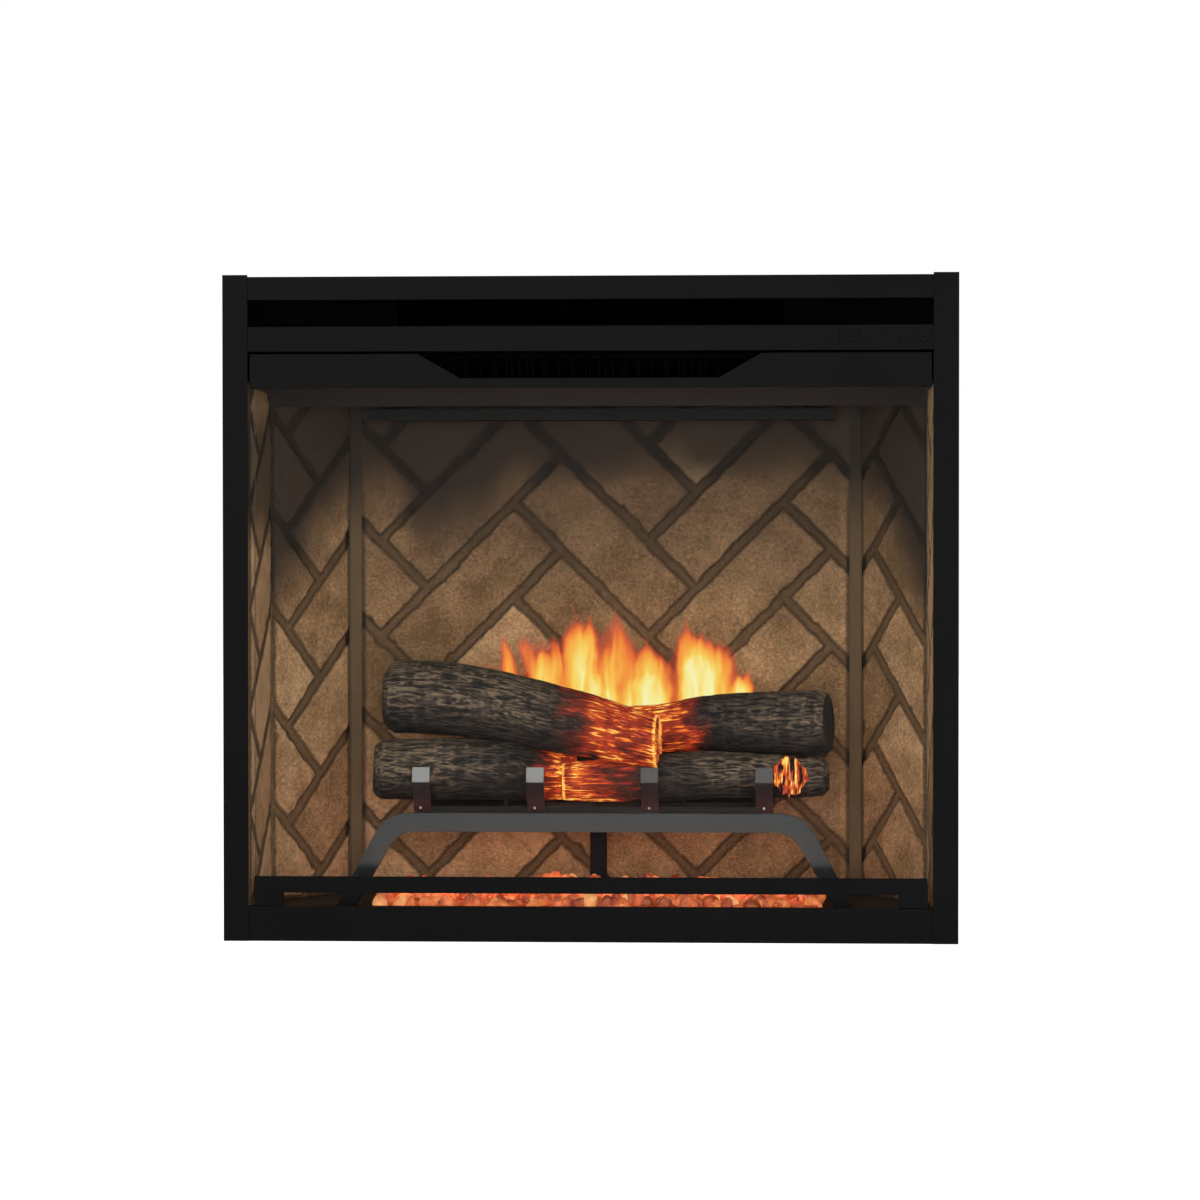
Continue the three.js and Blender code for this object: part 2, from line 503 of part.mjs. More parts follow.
// Flame works: LED board and flicker rod under the hearth slot, clear panel above it.
function makeFlameWorks() {
  const panelBack = flamePanel.y + flamePanel.thick;
  const panelSpan = [-flamePanel.halfWidth, flamePanel.halfWidth];
  add('flame_panel', block(
    panelSpan, [flamePanel.y, panelBack], [hearth.top + seam, flamePanel.top],
  ), acrylic);

  const groove = [flamePanel.y - seam, panelBack + seam];
  const grooveTop = flamePanel.top + seam;
  const section = [
    [topChannel.front, topChannel.low], [groove[0], topChannel.low], [groove[0], grooveTop],
    [groove[1], grooveTop], [groove[1], topChannel.low], [topChannel.rear, topChannel.low],
    [topChannel.rear, topChannel.high], [topChannel.front, topChannel.high],
  ];
  const hangers = [-1, 0, 1].map((place) => {
    const x = place * (topChannel.halfWidth - topChannel.tab);
    return block(
      [x - topChannel.tab / 2, x + topChannel.tab / 2], [groove[1], topChannel.rear],
      [topChannel.high - past, hood.ceiling - seam],
    );
  });
  const channel = alongX(section, -topChannel.halfWidth, topChannel.halfWidth);
  add('panel_top_channel', join(channel, ...hangers), paint);

  const vanes = Array.from({ length: rod.vanes }, (_, i) => {
    const x = -rod.vaneSpan + ((i + 0.5) * 2 * rod.vaneSpan) / rod.vanes;
    return new THREE.BoxGeometry(rod.vaneLength, 2 * rod.reach, rod.vaneThick)
      .rotateX(THREE.MathUtils.degToRad(i * rod.vaneTurn)).translate(x, rod.y, rod.z);
  });
  add('flicker_rod', join(pinX(rod.shaft, rod.from, rod.to, rod.y, rod.z, 12), ...vanes), mirrorFoil);

  const ground = casing.sheet + seam;
  const bearing = block(
    rodBearing.x, [rod.y - rodBearing.half, rod.y + rodBearing.half], [ground, rodBearing.top],
  );
  const bore = pinX(
    rod.shaft + rodBearing.clearance, rodBearing.x[0] - past, rodBearing.x[1] + past, rod.y, rod.z, 12,
  );
  add('rod_bearing', cut(bearing, bore), plastic);

  const motorFrom = rod.to + seam + rodMotor.shaftLength;
  const motorTo = motorFrom + rodMotor.length;
  add('flicker_motor', join(
    pinX(rod.shaft, rod.to + seam, motorFrom + past, rod.y, rod.z, 12),
    pinX(rodMotor.radius, motorFrom, motorTo, rod.y, rod.z, 24),
    block(
      [motorFrom, motorTo], [rod.y - rodMotor.footHalf, rod.y + rodMotor.footHalf], [ground, rodMotor.footTop],
    ),
  ), motorSteel);

  const flat = (halfLength, y, z) => block([-halfLength, halfLength], y, [z, z + ledBoard.thick]);
  add('flame_led_board', flat(flameBoard.halfLength, flameBoard.y, ground), circuit);
  add('ember_led_board', flat(emberBoard.halfLength, emberBoard.y, hearth.top + seam), circuit);
  const shelfWall = logShelf.rear - seam;
  add('log_led_board', block(logBoard.x, [shelfWall - ledBoard.thick, shelfWall], logBoard.z), circuit);
}

// Ember bed: a lumpy sloping shell, open underneath for its lights.
function makeEmberBed() {
  const low = hearth.top + seam;
  const fall = (emberBed.crest - emberBed.frontTop) / (emberBed.rear - emberBed.front);
  const topAt = (y) => emberBed.frontTop + (y - emberBed.front) * fall;
  const innerFront = emberBed.front + 2 * emberBed.wall;
  const innerRear = emberBed.rear - emberBed.wall;
  const section = [
    [emberBed.front, low], [innerFront, low], [innerFront, topAt(innerFront) - emberBed.wall],
    [innerRear, topAt(innerRear) - emberBed.wall], [innerRear, low], [emberBed.rear, low],
    [emberBed.rear, emberBed.crest], [emberBed.front, emberBed.frontTop],
  ];
  const lumps = [];
  const width = 2 * (emberBed.halfWidth - emberBed.lump);
  const depth = emberBed.rear - emberBed.front - 2 * emberBed.lump;
  for (let row = 0; row < emberBed.rows; row += 1) {
    for (let column = 0; column < emberBed.columns; column += 1) {
      const index = row * emberBed.columns + column;
      const shift = row % 2 ? 0.25 : -0.25;
      const x = -width / 2 + (width * (column + 0.5 + shift)) / emberBed.columns;
      const y = emberBed.front + emberBed.lump + (depth * row) / (emberBed.rows - 1);
      const size = emberBed.lump * (0.82 + 0.18 * Math.sin(index * 2.4));
      const lump = new THREE.IcosahedronGeometry(size, 0).rotateX(index).rotateZ(index * 1.7);
      lumps.push(lump.translate(x, y, topAt(y)));
    }
  }
  add('ember_bed', join(alongX(section, -emberBed.halfWidth, emberBed.halfWidth), ...lumps), ember);
}

// A log: a lathe turned true, then bent along its stations and roughened.
function logBody(stations, grow = 0) {
  const last = stations.length - 1;
  const profile = stations.map(([, , , r], i) => new THREE.Vector2(r + grow, i));
  const lathe = new THREE.LatheGeometry(
    [new THREE.Vector2(0, 0), ...profile, new THREE.Vector2(0, last)], logSet.sides,
  );
  const places = stations.map(([x, y, z]) => new THREE.Vector3(x, y, z));
  const along = places[last].clone().sub(places[0]).normalize();
  const across = Z.clone().cross(along).normalize();
  const up = along.clone().cross(across);
  const position = lathe.attributes.position;
  for (let i = 0; i < position.count; i += 1) {
    const [a, station, b] = [position.getX(i), Math.round(position.getY(i)), position.getZ(i)];
    const angle = Math.atan2(a, b);
    const knots = Math.sin(3 * angle + station * 1.9) + 0.6 * Math.sin(5 * angle - station * 2.3);
    const rough = 1 + logSet.roughness * knots;
    const end = station === 0 ? -grow : Number(station === last) * grow;
    const place = places[station].clone().addScaledVector(along, end)
      .addScaledVector(across, b * rough).addScaledVector(up, a * rough);
    position.setXYZ(i, place.x, place.y, place.z);
  }
  return lathe;
}

// The lower logs are cut where the upper ones rest, and all sit over the shelf's pins.
function makeLogs() {
  const pinHoles = [-1, 0, 1].map((place) => pinZ(
    logShelf.pin + logSet.pinGap, logSet.centre + place * logShelf.pinSpacing, logShelf.pinY,
    logShelf.top, logShelf.pinTop + logSet.pinGap,
  ));
  const saddle = (stations) => logBody(stations, logSet.saddle);
  add('log_upper_left', logBody(logs.upper_left), bark);
  add('log_upper_right', cut(logBody(logs.upper_right), saddle(logs.upper_left)), bark);
  add('log_lower_left', cut(
    logBody(logs.lower_left), saddle(logs.upper_left), saddle(logs.lower_right), ...pinHoles,
  ), bark);
  const stub = new THREE.CylinderGeometry(branch.base, branch.tip, branch.root - branch.front, 9)
    .translate(branch.x, (branch.front + branch.root) / 2, branch.z);
  add('log_lower_right', cut(
    join(logBody(logs.lower_right), stub), saddle(logs.upper_left), saddle(logs.upper_right), ...pinHoles,
  ), bark);
}

// Grate: front arch, four leaning prongs, and the shelf that carries the logs, with its rear leg.
function makeGrate() {
  const low = hearth.top + seam;
  const under = grate.top - grate.height;
  const innerFoot = grate.footHalf - grate.legWidth;
  const innerKnee = grate.kneeX - grate.kneeWidth;
  const innerBend = grate.bendX - grate.bendWidth;
  const innerFlat = grate.flatHalf - grate.flatInset;
  const innerKneeZ = grate.kneeZ - grate.height / 2;
  const arch = new THREE.Shape();
  arch.moveTo(-grate.footHalf, low);
  arch.lineTo(-innerFoot, low);
  arch.lineTo(-innerKnee, innerKneeZ);
  arch.quadraticCurveTo(-innerBend, under, -innerFlat, under);
  arch.lineTo(innerFlat, under);
  arch.quadraticCurveTo(innerBend, under, innerKnee, innerKneeZ);
  arch.lineTo(innerFoot, low);
  arch.lineTo(grate.footHalf, low);
  arch.lineTo(grate.kneeX, grate.kneeZ);
  arch.quadraticCurveTo(grate.bendX, grate.top, grate.flatHalf, grate.top);
  arch.lineTo(-grate.flatHalf, grate.top);
  arch.quadraticCurveTo(-grate.bendX, grate.top, -grate.kneeX, grate.kneeZ);
  add('grate_arch', alongY(arch, grate.front, grate.front + grate.bar), grateSteel);

  const foot = grate.top + seam;
  const prongPath = [[prong.foot, foot], [prong.lean, prong.shoulder], [prong.tipLean, prong.tip]];
  const section = foldedSheet(prongPath, prong.thick);
  section.forEach((point) => { point[1] = Math.max(point[1], foot); });
  for (let i = 0; i < prong.count; i += 1) {
    const x = logSet.centre + (i - (prong.count - 1) / 2) * prong.spacing;
    add(`grate_prong_${i + 1}`, alongX(section, x - prong.width / 2, x + prong.width / 2), grateSteel);
  }

  const shelfFront = grate.front + grate.bar + seam;
  const shelfPath = [
    [shelfFront, logShelf.top - logShelf.lip], [shelfFront, logShelf.top], [logShelf.rear, logShelf.top],
    [logShelf.rear, logShelf.top + logShelf.back],
  ];
  const shelfFrom = logSet.centre - logShelf.halfWidth;
  const shelf = alongX(foldedSheet(shelfPath, -logShelf.sheet), shelfFrom, shelfFrom + 2 * logShelf.halfWidth);
  const pins = [-1, 0, 1].map((place) => pinZ(
    logShelf.pin, logSet.centre + place * logShelf.pinSpacing, logShelf.pinY,
    logShelf.top - past, logShelf.pinTop,
  ));
  const leg = block(
    [logSet.centre - rearLeg.halfWidth, logSet.centre + rearLeg.halfWidth],
    [rearLeg.y, rearLeg.y + rearLeg.thick], [low, logShelf.top - logShelf.sheet / 2],
  );
  add('log_shelf', join(shelf, leg, ...pins), grateSteel);
}

// Fan heater behind the upper rails: duct, scroll, cross-flow wheel, motor and element.
function makeHeater() {
  const floor = hood.bendHeight + hood.sheet + seam;
  const front = grille.y + grille.sheet + seam;
  const ductHalf = duct.halfWidth - seam;
  const bottomRadius = blower.z - floor;
  const scroll = [[front, floor]];
  for (let degrees = -90; degrees <= blower.scrollEnd; degrees += blower.scrollStep) {
    const share = (degrees + 90) / (blower.scrollEnd + 90);
    const radius = THREE.MathUtils.lerp(bottomRadius, blower.scrollTop, share);
    const angle = THREE.MathUtils.degToRad(degrees);
    scroll.push([blower.y + radius * Math.cos(angle), blower.z + radius * Math.sin(angle)]);
  }
  add('heater_scroll', alongX(foldedSheet(scroll, duct.sheet), -ductHalf, ductHalf), paint);
  const roof = [[front, duct.roof], [duct.tongue, duct.roof], [duct.lipDepth, duct.lipHeight]];
  add('heater_duct_roof', alongX(foldedSheet(roof, duct.sheet), -ductHalf, ductHalf), paint);

  const plateX = [duct.halfWidth, duct.halfWidth + endPlate.sheet];
  const plate = block(plateX, [front, endPlate.rear], [floor, endPlate.high]);
  const shaftHole = pinX(
    blower.shaft + seam, plateX[0] - past, plateX[1] + past, blower.y, blower.z,
  );
  const drilled = cut(plate, shaftHole);
  add('heater_end_left', mirrored(drilled), paint);
  add('heater_end_right', drilled, paint);

  const bladeReach = blower.radius - blower.blade / 2 - blower.rim;
  const blades = Array.from({ length: blower.blades }, (_, i) => {
    const blade = new THREE.BoxGeometry(2 * blower.halfLength - blower.disc, blower.bladeThick, blower.blade);
    return blade.rotateX(blower.bladeTilt).translate(0, 0, bladeReach)
      .rotateX((i * 2 * Math.PI) / blower.blades).translate(0, blower.y, blower.z);
  });
  const shaftEnd = duct.halfWidth + endPlate.sheet + blowerMotor.socket - past;
  const reach = blower.halfLength;
  const ends = [[-reach, blower.disc - reach], [reach - blower.disc, reach]].map(([from, to]) => (
    pinX(blower.radius, from, to, blower.y, blower.z, 24)));
  const [hubStart, hubEnd] = [reach - blower.disc - blower.hubIn, reach + blower.hubOut];
  const hubs = [[-hubEnd, -hubStart], [hubStart, hubEnd]].map(([from, to]) => (
    pinX(blower.hub, from, to, blower.y, blower.z, 12)));
  const shaft = pinX(blower.shaft, -shaftEnd, shaftEnd, blower.y, blower.z, 12);
  add('blower_wheel', join(shaft, ...ends, ...hubs, ...blades), blackenedMetal);

  const motorFrom = duct.halfWidth + endPlate.sheet + seam;
  const motorTo = motorFrom + blowerMotor.length;
  const socketEnd = motorFrom + blowerMotor.socket;
  add('blower_motor', turnedX([
    [0, socketEnd], [blower.shaft + seam, socketEnd], [blower.shaft + seam, motorFrom],
    [blowerMotor.radius, motorFrom], [blowerMotor.radius, motorTo], [0, motorTo],
  ], blower.y, blower.z, 24), motorSteel);

  const elementLow = floor + duct.sheet + seam;
  const elementHigh = duct.roof - seam;
  const span = [-element.halfLength, element.halfLength];
  const depth = [element.front, element.rear];
  const fins = Array.from({ length: element.fins }, (_, i) => {
    const x = -element.halfLength + (i * (2 * element.halfLength - element.fin)) / (element.fins - 1);
    return block([x, x + element.fin], depth, [elementLow + past, elementHigh - past]);
  });
  add('heating_element', join(
    block(span, depth, [elementLow, elementLow + element.bar]),
    block(span, depth, [elementHigh - element.bar, elementHigh]), ...fins,
  ), blackenedMetal);
  const roofTop = duct.roof + duct.sheet + seam;
  add('thermal_cutout', pinZ(cutout.radius, cutout.x, cutout.y, roofTop, roofTop + cutout.height, 16), plastic);

  const face = block([-grille.half, grille.half], [grille.y, grille.y + grille.sheet], [floor, grille.high]);
  const pitch = (2 * (grille.half - grille.border) + grille.bar) / grille.bars;
  const slots = Array.from({ length: grille.bars }, (_, i) => {
    const x = -grille.half + grille.border + i * pitch;
    return block(
      [x, x + pitch - grille.bar], [grille.y - past, grille.y + grille.sheet + past],
      [floor + grille.border, grille.high - grille.border],
    );
  });
  add('outlet_grille', cut(face, ...slots), paint);
}

// Controls behind the heater rail, and the supply connection at the lower right.
function makeControls() {
  const boardLow = heaterRail.low + rail.sheet + seam;
  const boardHigh = heaterRail.high - rail.sheet - seam;
  const switchFront = board.y - board.switchDepth;
  const switches = button.x.map((x) => block(
    [x - board.switchHalf, x + board.switchHalf], [switchFront, board.y + board.thick / 2],
    [button.z - board.switchHalf, button.z + board.switchHalf],
  ));
  const plate = block(board.x, [board.y, board.y + board.thick], [boardLow, boardHigh]);
  add('control_board', join(plate, ...switches), circuit);

  const front = railFront - button.proud;
  const flangeFrom = railBack + seam;
  const flangeTo = flangeFrom + button.flangeThick;
  const stemEnd = switchFront - button.travel - button.clearance;
  button.x.forEach((x, i) => {
    add(`button_${i + 1}`, join(
      pinY(button.radius, x, front, flangeTo, button.z), pinY(button.flange, x, flangeFrom, flangeTo, button.z),
      pinY(button.radius / 2, x, flangeTo - button.flangeThick / 2, stemEnd, button.z, 8),
    ), plastic);
  });
  add('ir_receiver_lens', block(lens.x, [railFront - lens.proud, railFront + lens.depth], lens.z), darkLens);

  const low = hearth.top + seam;
  const shell = block(junction.x, junction.y, [low, junction.top]);
  const hollow = block(
    [junction.x[0] - past, junction.x[1] - junction.wall],
    [junction.y[0] + junction.wall, junction.y[1] - junction.wall],
    [low + junction.wall, junction.top - junction.wall],
  );
  const entry = pinX(clamp.bore, junction.x[1] - junction.wall - past, junction.x[1] + past, clamp.y, clamp.z);
  add('junction_box', cut(shell, hollow, entry), galvanised);
  const flangeBack = sideOuter + seam;
  const flangeFront = flangeBack + clamp.flangeThick;
  const nose = junction.x[1] + seam;
  add('cable_clamp', turnedX([
    [clamp.bore, nose], [clamp.radius, nose], [clamp.radius, flangeBack], [clamp.flange, flangeBack],
    [clamp.flange, flangeFront], [clamp.bore, flangeFront], [clamp.bore, nose],
  ], clamp.y, clamp.z, 20), plastic);
}

makeCasing();
makeFrontFrame();
makeGlassFront();
makeFirebox();
makeFlameWorks();
makeEmberBed();
makeLogs();
makeGrate();
makeHeater();
makeControls();

export default insert;
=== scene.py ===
import itertools
import json
import math
import bpy
import numpy as np
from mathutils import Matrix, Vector


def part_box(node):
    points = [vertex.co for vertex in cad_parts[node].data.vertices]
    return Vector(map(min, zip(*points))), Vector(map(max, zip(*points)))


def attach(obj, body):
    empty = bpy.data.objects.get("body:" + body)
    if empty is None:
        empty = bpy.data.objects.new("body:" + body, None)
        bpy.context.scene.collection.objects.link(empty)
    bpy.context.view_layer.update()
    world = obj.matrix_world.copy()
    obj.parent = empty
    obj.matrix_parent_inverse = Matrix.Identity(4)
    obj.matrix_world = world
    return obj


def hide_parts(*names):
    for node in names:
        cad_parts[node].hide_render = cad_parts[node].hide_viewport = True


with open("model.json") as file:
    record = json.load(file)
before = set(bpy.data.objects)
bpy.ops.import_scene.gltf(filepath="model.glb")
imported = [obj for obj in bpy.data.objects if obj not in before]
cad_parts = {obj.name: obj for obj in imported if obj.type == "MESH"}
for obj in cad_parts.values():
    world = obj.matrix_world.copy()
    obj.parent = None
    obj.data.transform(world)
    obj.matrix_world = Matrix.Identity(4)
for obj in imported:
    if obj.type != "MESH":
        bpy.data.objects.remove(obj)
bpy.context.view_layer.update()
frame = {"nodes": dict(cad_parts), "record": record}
nodes = frame["nodes"]

mm = 0.001
frontPlane = -170.5  # the stiles' front face; depths count back from it, in millimetres
imageSize = 1200  # the photo's side, in pixels
casing = {  # the steel box's outer faces in metres, and the depth that counts as its outside
    "half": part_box("right_side_panel")[1][0], "rear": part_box("rear_panel")[1][1],
    "top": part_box("top_panel")[1][2], "skin": 0.0006,
}


def tone(red, green, blue):  # a screen colour as linear light
    linear = [((v / 255 + 0.055) / 1.055) ** 2.4 if v > 10 else v / 255 / 12.92 for v in (red, green, blue)]
    return (*linear, 1.0)


def scaled(color, factor, lift=0.0):  # a lighter or darker shade of a linear colour
    return (*[min(1.0, v * factor + lift) for v in color[:3]], 1.0)


class Wire:  # an output socket that can be added, multiplied and so on
    def __init__(self, paint, socket):
        self.paint, self.socket = paint, socket

    def maths(self, operation, *others):
        return self.paint.node("Math", {"operation": operation}, dict(enumerate([self, *others])))

    def __add__(self, other):
        return self.maths("ADD", other)

    def __sub__(self, other):
        return self.maths("SUBTRACT", other)

    def __mul__(self, other):
        return self.maths("MULTIPLY", other)

    def __rsub__(self, other):
        return self.paint.node("Math", {"operation": "SUBTRACT"}, {0: other, 1: self})

    def ramp(self, low, high, fromValue=0.0, toValue=1.0):  # smooth step between two values
        return self.paint.node("MapRange", {"interpolation_type": "SMOOTHSTEP"}, {
            "Value": self, "From Min": low, "From Max": high, "To Min": fromValue, "To Max": toValue})


class Paint:  # one material with its own node tree
    def __init__(self, name, color=(0.5, 0.5, 0.5, 1), **fixed):
        self.material = bpy.data.materials.new(name)
        self.material.use_nodes = True
        self.tree = self.material.node_tree
        self.shader = self.tree.nodes["Principled BSDF"]
        self.set("Base Color", color)
        for socket, value in fixed.items():
            self.set(socket.replace("_", " "), value)

    def node(self, kind, settings=None, sockets=None, out=0):
        made = self.tree.nodes.new("ShaderNode" + kind)
        for key, value in (settings or {}).items():
            setattr(made, key, value)
        for key, value in (sockets or {}).items():
            self.feed(made.inputs[key], value)
        return Wire(self, made.outputs[out])

    def feed(self, socket, value):
        if isinstance(value, Wire):
            self.tree.links.new(value.socket, socket)
        else:
            socket.default_value = value

    def set(self, socket, value):
        self.feed(self.shader.inputs[socket], value)

    def place(self, scale=(1, 1, 1)):  # object coordinates, in metres
        at = self.node("TexCoord", out="Object")
        return self.node("Mapping", None, {"Vector": at, "Scale": scale})

    def axis(self, letter):
        return self.node("SeparateXYZ", None, {"Vector": self.place()}, out=letter)

    def noise(self, at, scale, detail=4.0, roughness=0.55, distortion=0.0):
        return self.node("TexNoise", None, {
            "Vector": at, "Scale": scale, "Detail": detail, "Roughness": roughness,
            "Distortion": distortion})

    def cells(self, at, scale, feature="F1", out="Distance"):
        return self.node("TexVoronoi", {"feature": feature}, {
            "Vector": at, "Scale": scale}, out)

    def value(self, name):  # a number stored on the mesh
        return self.node("Attribute", {"attribute_name": name}, out="Fac")

    def blend(self, factor, first, second):
        made = self.tree.nodes.new("ShaderNodeMix")
        made.data_type = "RGBA"
        for index, value in ((0, factor), (6, first), (7, second)):
            self.feed(made.inputs[index], value)
        return Wire(self, made.outputs[2])

    def stops(self, factor, *stops):  # a colour ramp; each stop is a place and a screen colour
        made = self.node("ValToRGB", None, {"Fac": factor})
        elements = made.socket.node.color_ramp.elements
        while len(elements) < len(stops):
            elements.new(0.5)
        for element, (position, *color) in zip(elements, stops):
            element.position, element.color = position, tone(*color)
        return made

    def dress(self, color, roughness, height=None, depth=0.0, strength=1.0):  # hands the paint back
        self.set("Base Color", color)
        self.set("Roughness", roughness)
        if height:
            self.set("Normal", self.node("Bump", None, {
                "Strength": strength, "Distance": depth, "Height": height}))
        return self


def sprayed(name, color, roughness, specular):
    paint = Paint(name, color, Specular_IOR_Level=specular)
    at = paint.place()
    fine, broad = paint.noise(at, 900.0, 2.0), paint.noise(at, 7.0, 3.0)
    mottled = paint.blend(broad * fine * 1.4, color, scaled(color, 1.5, 0.001))
    return paint.dress(mottled, broad * 0.12 + (roughness - 0.06), fine, 0.00006, 0.5)


def trimAngle(name):  # khaki paint, darkened towards the top by painted shade like the bricks beside it
    shadeStart, shadeFull = 0.55, 0.67
    paint = Paint(name, Specular_IOR_Level=0.15)
    at = paint.place()
    broad, fine = paint.noise(at, 30.0, 4.0), paint.noise(at, 500.0, 2.0)
    clean = paint.blend(broad, tone(70, 56, 40), tone(87, 70, 50))
    # painted shade: the upper part of the trim turns dark brown
    paintedShade = (paint.axis("Z") + broad * 0.05).ramp(shadeStart, shadeFull)
    return paint.dress(paint.blend(paintedShade, clean, tone(38, 32, 27)), fine * 0.1 + 0.58, fine, 0.00008, 0.5)


def grateSteel(name, caps=False):  # dark grey paint with painted shade on the lower legs; the prongs' caps carry a painted highlight and their shafts a painted reflection of the embers
    shadeBelow, heatBrownAndEmberGlow, capEdge = (0.102, 0.088), (0.2, 0.166), (0.2065, 0.2085)
    paint = Paint(name, Specular_IOR_Level=0.2)
    at = paint.place()
    fine, broad = paint.noise(at, 800.0, 2.0), paint.noise(at, 14.0, 3.0)
    color = paint.blend(broad, tone(41, 44, 44), tone(48, 51, 51))
    # painted shade: the legs turn near black low down, where they stand in shadow
    color = paint.blend(paint.axis("Z").ramp(*shadeBelow), color, tone(2, 2, 2))
    if caps:
        # painted highlight: the caps are light grey, lighter on the left two prongs
        capHighlight = paint.blend(paint.axis("X").ramp(0.02, -0.02), tone(66, 65, 62), tone(120, 120, 116))
        capHighlight = paint.blend(broad * 0.3, capHighlight, tone(70, 70, 68))
        # painted reflection: the shafts are reddened low down, as if reflecting the glowing embers
        shaft = paint.blend(paint.axis("Z").ramp(*heatBrownAndEmberGlow), tone(26, 19, 19), tone(44, 24, 22))
        color = paint.blend(paint.axis("Z").ramp(*capEdge), shaft, capHighlight)
    return paint.dress(color, broad * 0.15 + 0.42, fine, 0.00006, 0.5)


def shelfSteel(name):  # heat-browned on top; the leg behind the embers is painted near black as painted shade
    legTop = (0.165, 0.155)
    paint = Paint(name, Specular_IOR_Level=0.1)
    at = paint.place()
    heatBrownAndEmberGlow = paint.blend(paint.noise(at, 30.0, 3.0), tone(19, 16, 13), tone(29, 24, 20))
    # painted shade: below the shelf top the leg turns near black
    color = paint.blend(paint.axis("Z").ramp(*legTop), heatBrownAndEmberGlow, tone(7, 7, 8))
    return paint.dress(color, 0.6, paint.noise(at, 900.0, 2.0), 0.00006, 0.5)


def zincSheet(name):  # spangled outside; the side that faces the works is painted black as painted shade, for the unlit inside
    paint = Paint(name, Specular_IOR_Level=0.0)
    at = paint.place()
    spangle = paint.cells(at, 95.0, out="Color")
    grey = paint.node("SeparateColor", None, {"Color": spangle}, out="Red")
    smear = paint.noise(at, 12.0, 4.0)
    x, y, z = (paint.axis(letter) for letter in "XYZ")
    skin = casing["skin"]
    sides = x.maths("ABSOLUTE").maths("GREATER_THAN", casing["half"] - skin)
    ends = z.maths("GREATER_THAN", casing["top"] - skin) + z.maths("LESS_THAN", skin)
    rear = y.maths("GREATER_THAN", casing["rear"] - skin)
    outside = (sides + ends + rear).maths("MINIMUM", 1.0)
    zinc = paint.stops(grey * 0.28 + smear * 0.5 + 0.16,
                       (0.2, 134, 138, 141), (0.85, 186, 189, 190))
    paint.set("Metallic", outside * 0.85)
    # painted shade: every inner face is near black and not metallic
    return paint.dress(paint.blend(outside, tone(5, 5, 5), zinc), grey * 0.1 + smear * 0.1 + 0.37,
                       smear, 0.0003, 0.3)


def brushed(name, color, roughness, stretch=(1, 60, 60)):
    paint = Paint(name, color, Metallic=1.0)
    lines = paint.noise(paint.place(stretch), 25.0, 3.0)
    return paint.dress(paint.blend(lines, scaled(color, 0.7), color), lines * 0.2 + (roughness - 0.1))


def moulded(name, color, roughness, specular):
    paint = Paint(name, color, Specular_IOR_Level=specular)
    at = paint.place()
    grain, cloud = paint.noise(at, 1400.0, 2.0), paint.noise(at, 40.0, 2.0)
    clouded = paint.blend(cloud, color, scaled(color, 1.35, 0.002))
    return paint.dress(clouded, grain * 0.15 + (roughness - 0.07), grain, 0.00005, 0.5)


def circuitPaint(name):
    paint = Paint(name, Specular_IOR_Level=0.2)
    tracks = paint.cells(paint.place(), 260.0, "DISTANCE_TO_EDGE")
    color = paint.stops(tracks, (0.03, 30, 58, 40), (0.09, 12, 34, 23))
    return paint.dress(color, 0.5, tracks, 0.0001, 0.4)


def paneGlass(name):  # nearly clear, with the green of its cut edges
    body, cut = tone(10, 14, 13), 0.0012
    paint = Paint(name, body, IOR=1.45)
    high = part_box("glass_pane")[1]
    sides = paint.axis("X").maths("ABSOLUTE").maths("GREATER_THAN", high.x - cut)
    edge = (sides + paint.axis("Z").maths("GREATER_THAN", high.z - cut)).maths("MINIMUM", 1.0)
    haze = paint.noise(paint.place(), 18.0, 3.0)
    paint.set("Base Color", paint.blend(edge, body, tone(30, 42, 37)))
    paint.set("Alpha", edge * 0.3 + 0.03)
    paint.set("Roughness", haze * 0.04 + 0.01 + edge * 0.3)
    return paint


def wallPaint(name):  # tan moulded bricks, recessed dark joints, painted shade towards the top and a painted shade line round each brick
    paint = Paint(name, Specular_IOR_Level=0.18)
    at = paint.place()
    brick, toneAndLight, soot = paint.value("brick"), paint.value("toneAndLight"), paint.value("soot")
    broad = paint.noise(at, 22.0, 5.0, 0.6)
    fine = paint.noise(at, 190.0, 4.0, 0.65)
    pits = paint.cells(at, 420.0)
    weave = paint.noise(paint.place((260, 260, 620)), 1.0, 3.0, 0.7)
    mottle = broad * 0.8 + fine * 0.85 + weave * 0.95 + toneAndLight * 0.4 - 1.04
    clay = paint.stops(mottle, (0.16, 92, 68, 44), (0.4, 127, 98, 68),
                       (0.56, 147, 114, 81), (0.78, 176, 143, 106))
    marks = [  # scale, detail, roughness, start, end, strength and colour of each kind of stain
        (60.0, 6.0, 0.75, 0.55, 0.68, 0.6, (84, 62, 40)), (26.0, 3.0, 0.6, 0.5, 0.68, 0.3, (104, 92, 50)),
        (330.0, 2.0, 0.5, 0.66, 0.74, 0.5, (60, 44, 30)),
    ]
    for scale, detail, roughness, start, end, strength, color in marks:
        mark = paint.noise(at, scale, detail, roughness).ramp(start, end)
        clay = paint.blend(mark * strength, clay, tone(*color))
    mortar = paint.stops(fine * 0.6 + broad * 0.4, (0.3, 72, 55, 38), (0.7, 104, 81, 56))
    face = paint.blend(brick, mortar, clay)
    # painted shade: the line round each brick darkens to brown
    edge = paint.value("rim") * (broad * 0.7 + 0.5)
    face = paint.blend(edge.maths("MINIMUM", 0.9), face, tone(44, 32, 22))
    # painted shade: where the shade amount is high, bricks and joints go dark brown
    shadeWeight = soot * (broad * 0.4 + (1 - brick) * 0.25 + 0.84)
    shadedColour = paint.blend(brick, tone(30, 25, 21), tone(44, 36, 30))
    face = paint.blend(shadeWeight.maths("MINIMUM", 0.97), face, shadedColour)
    return paint.dress(face, fine * 0.2 + 0.68, fine * 0.6 + pits * 0.4 + broad * 0.5, 0.0016, 0.7)


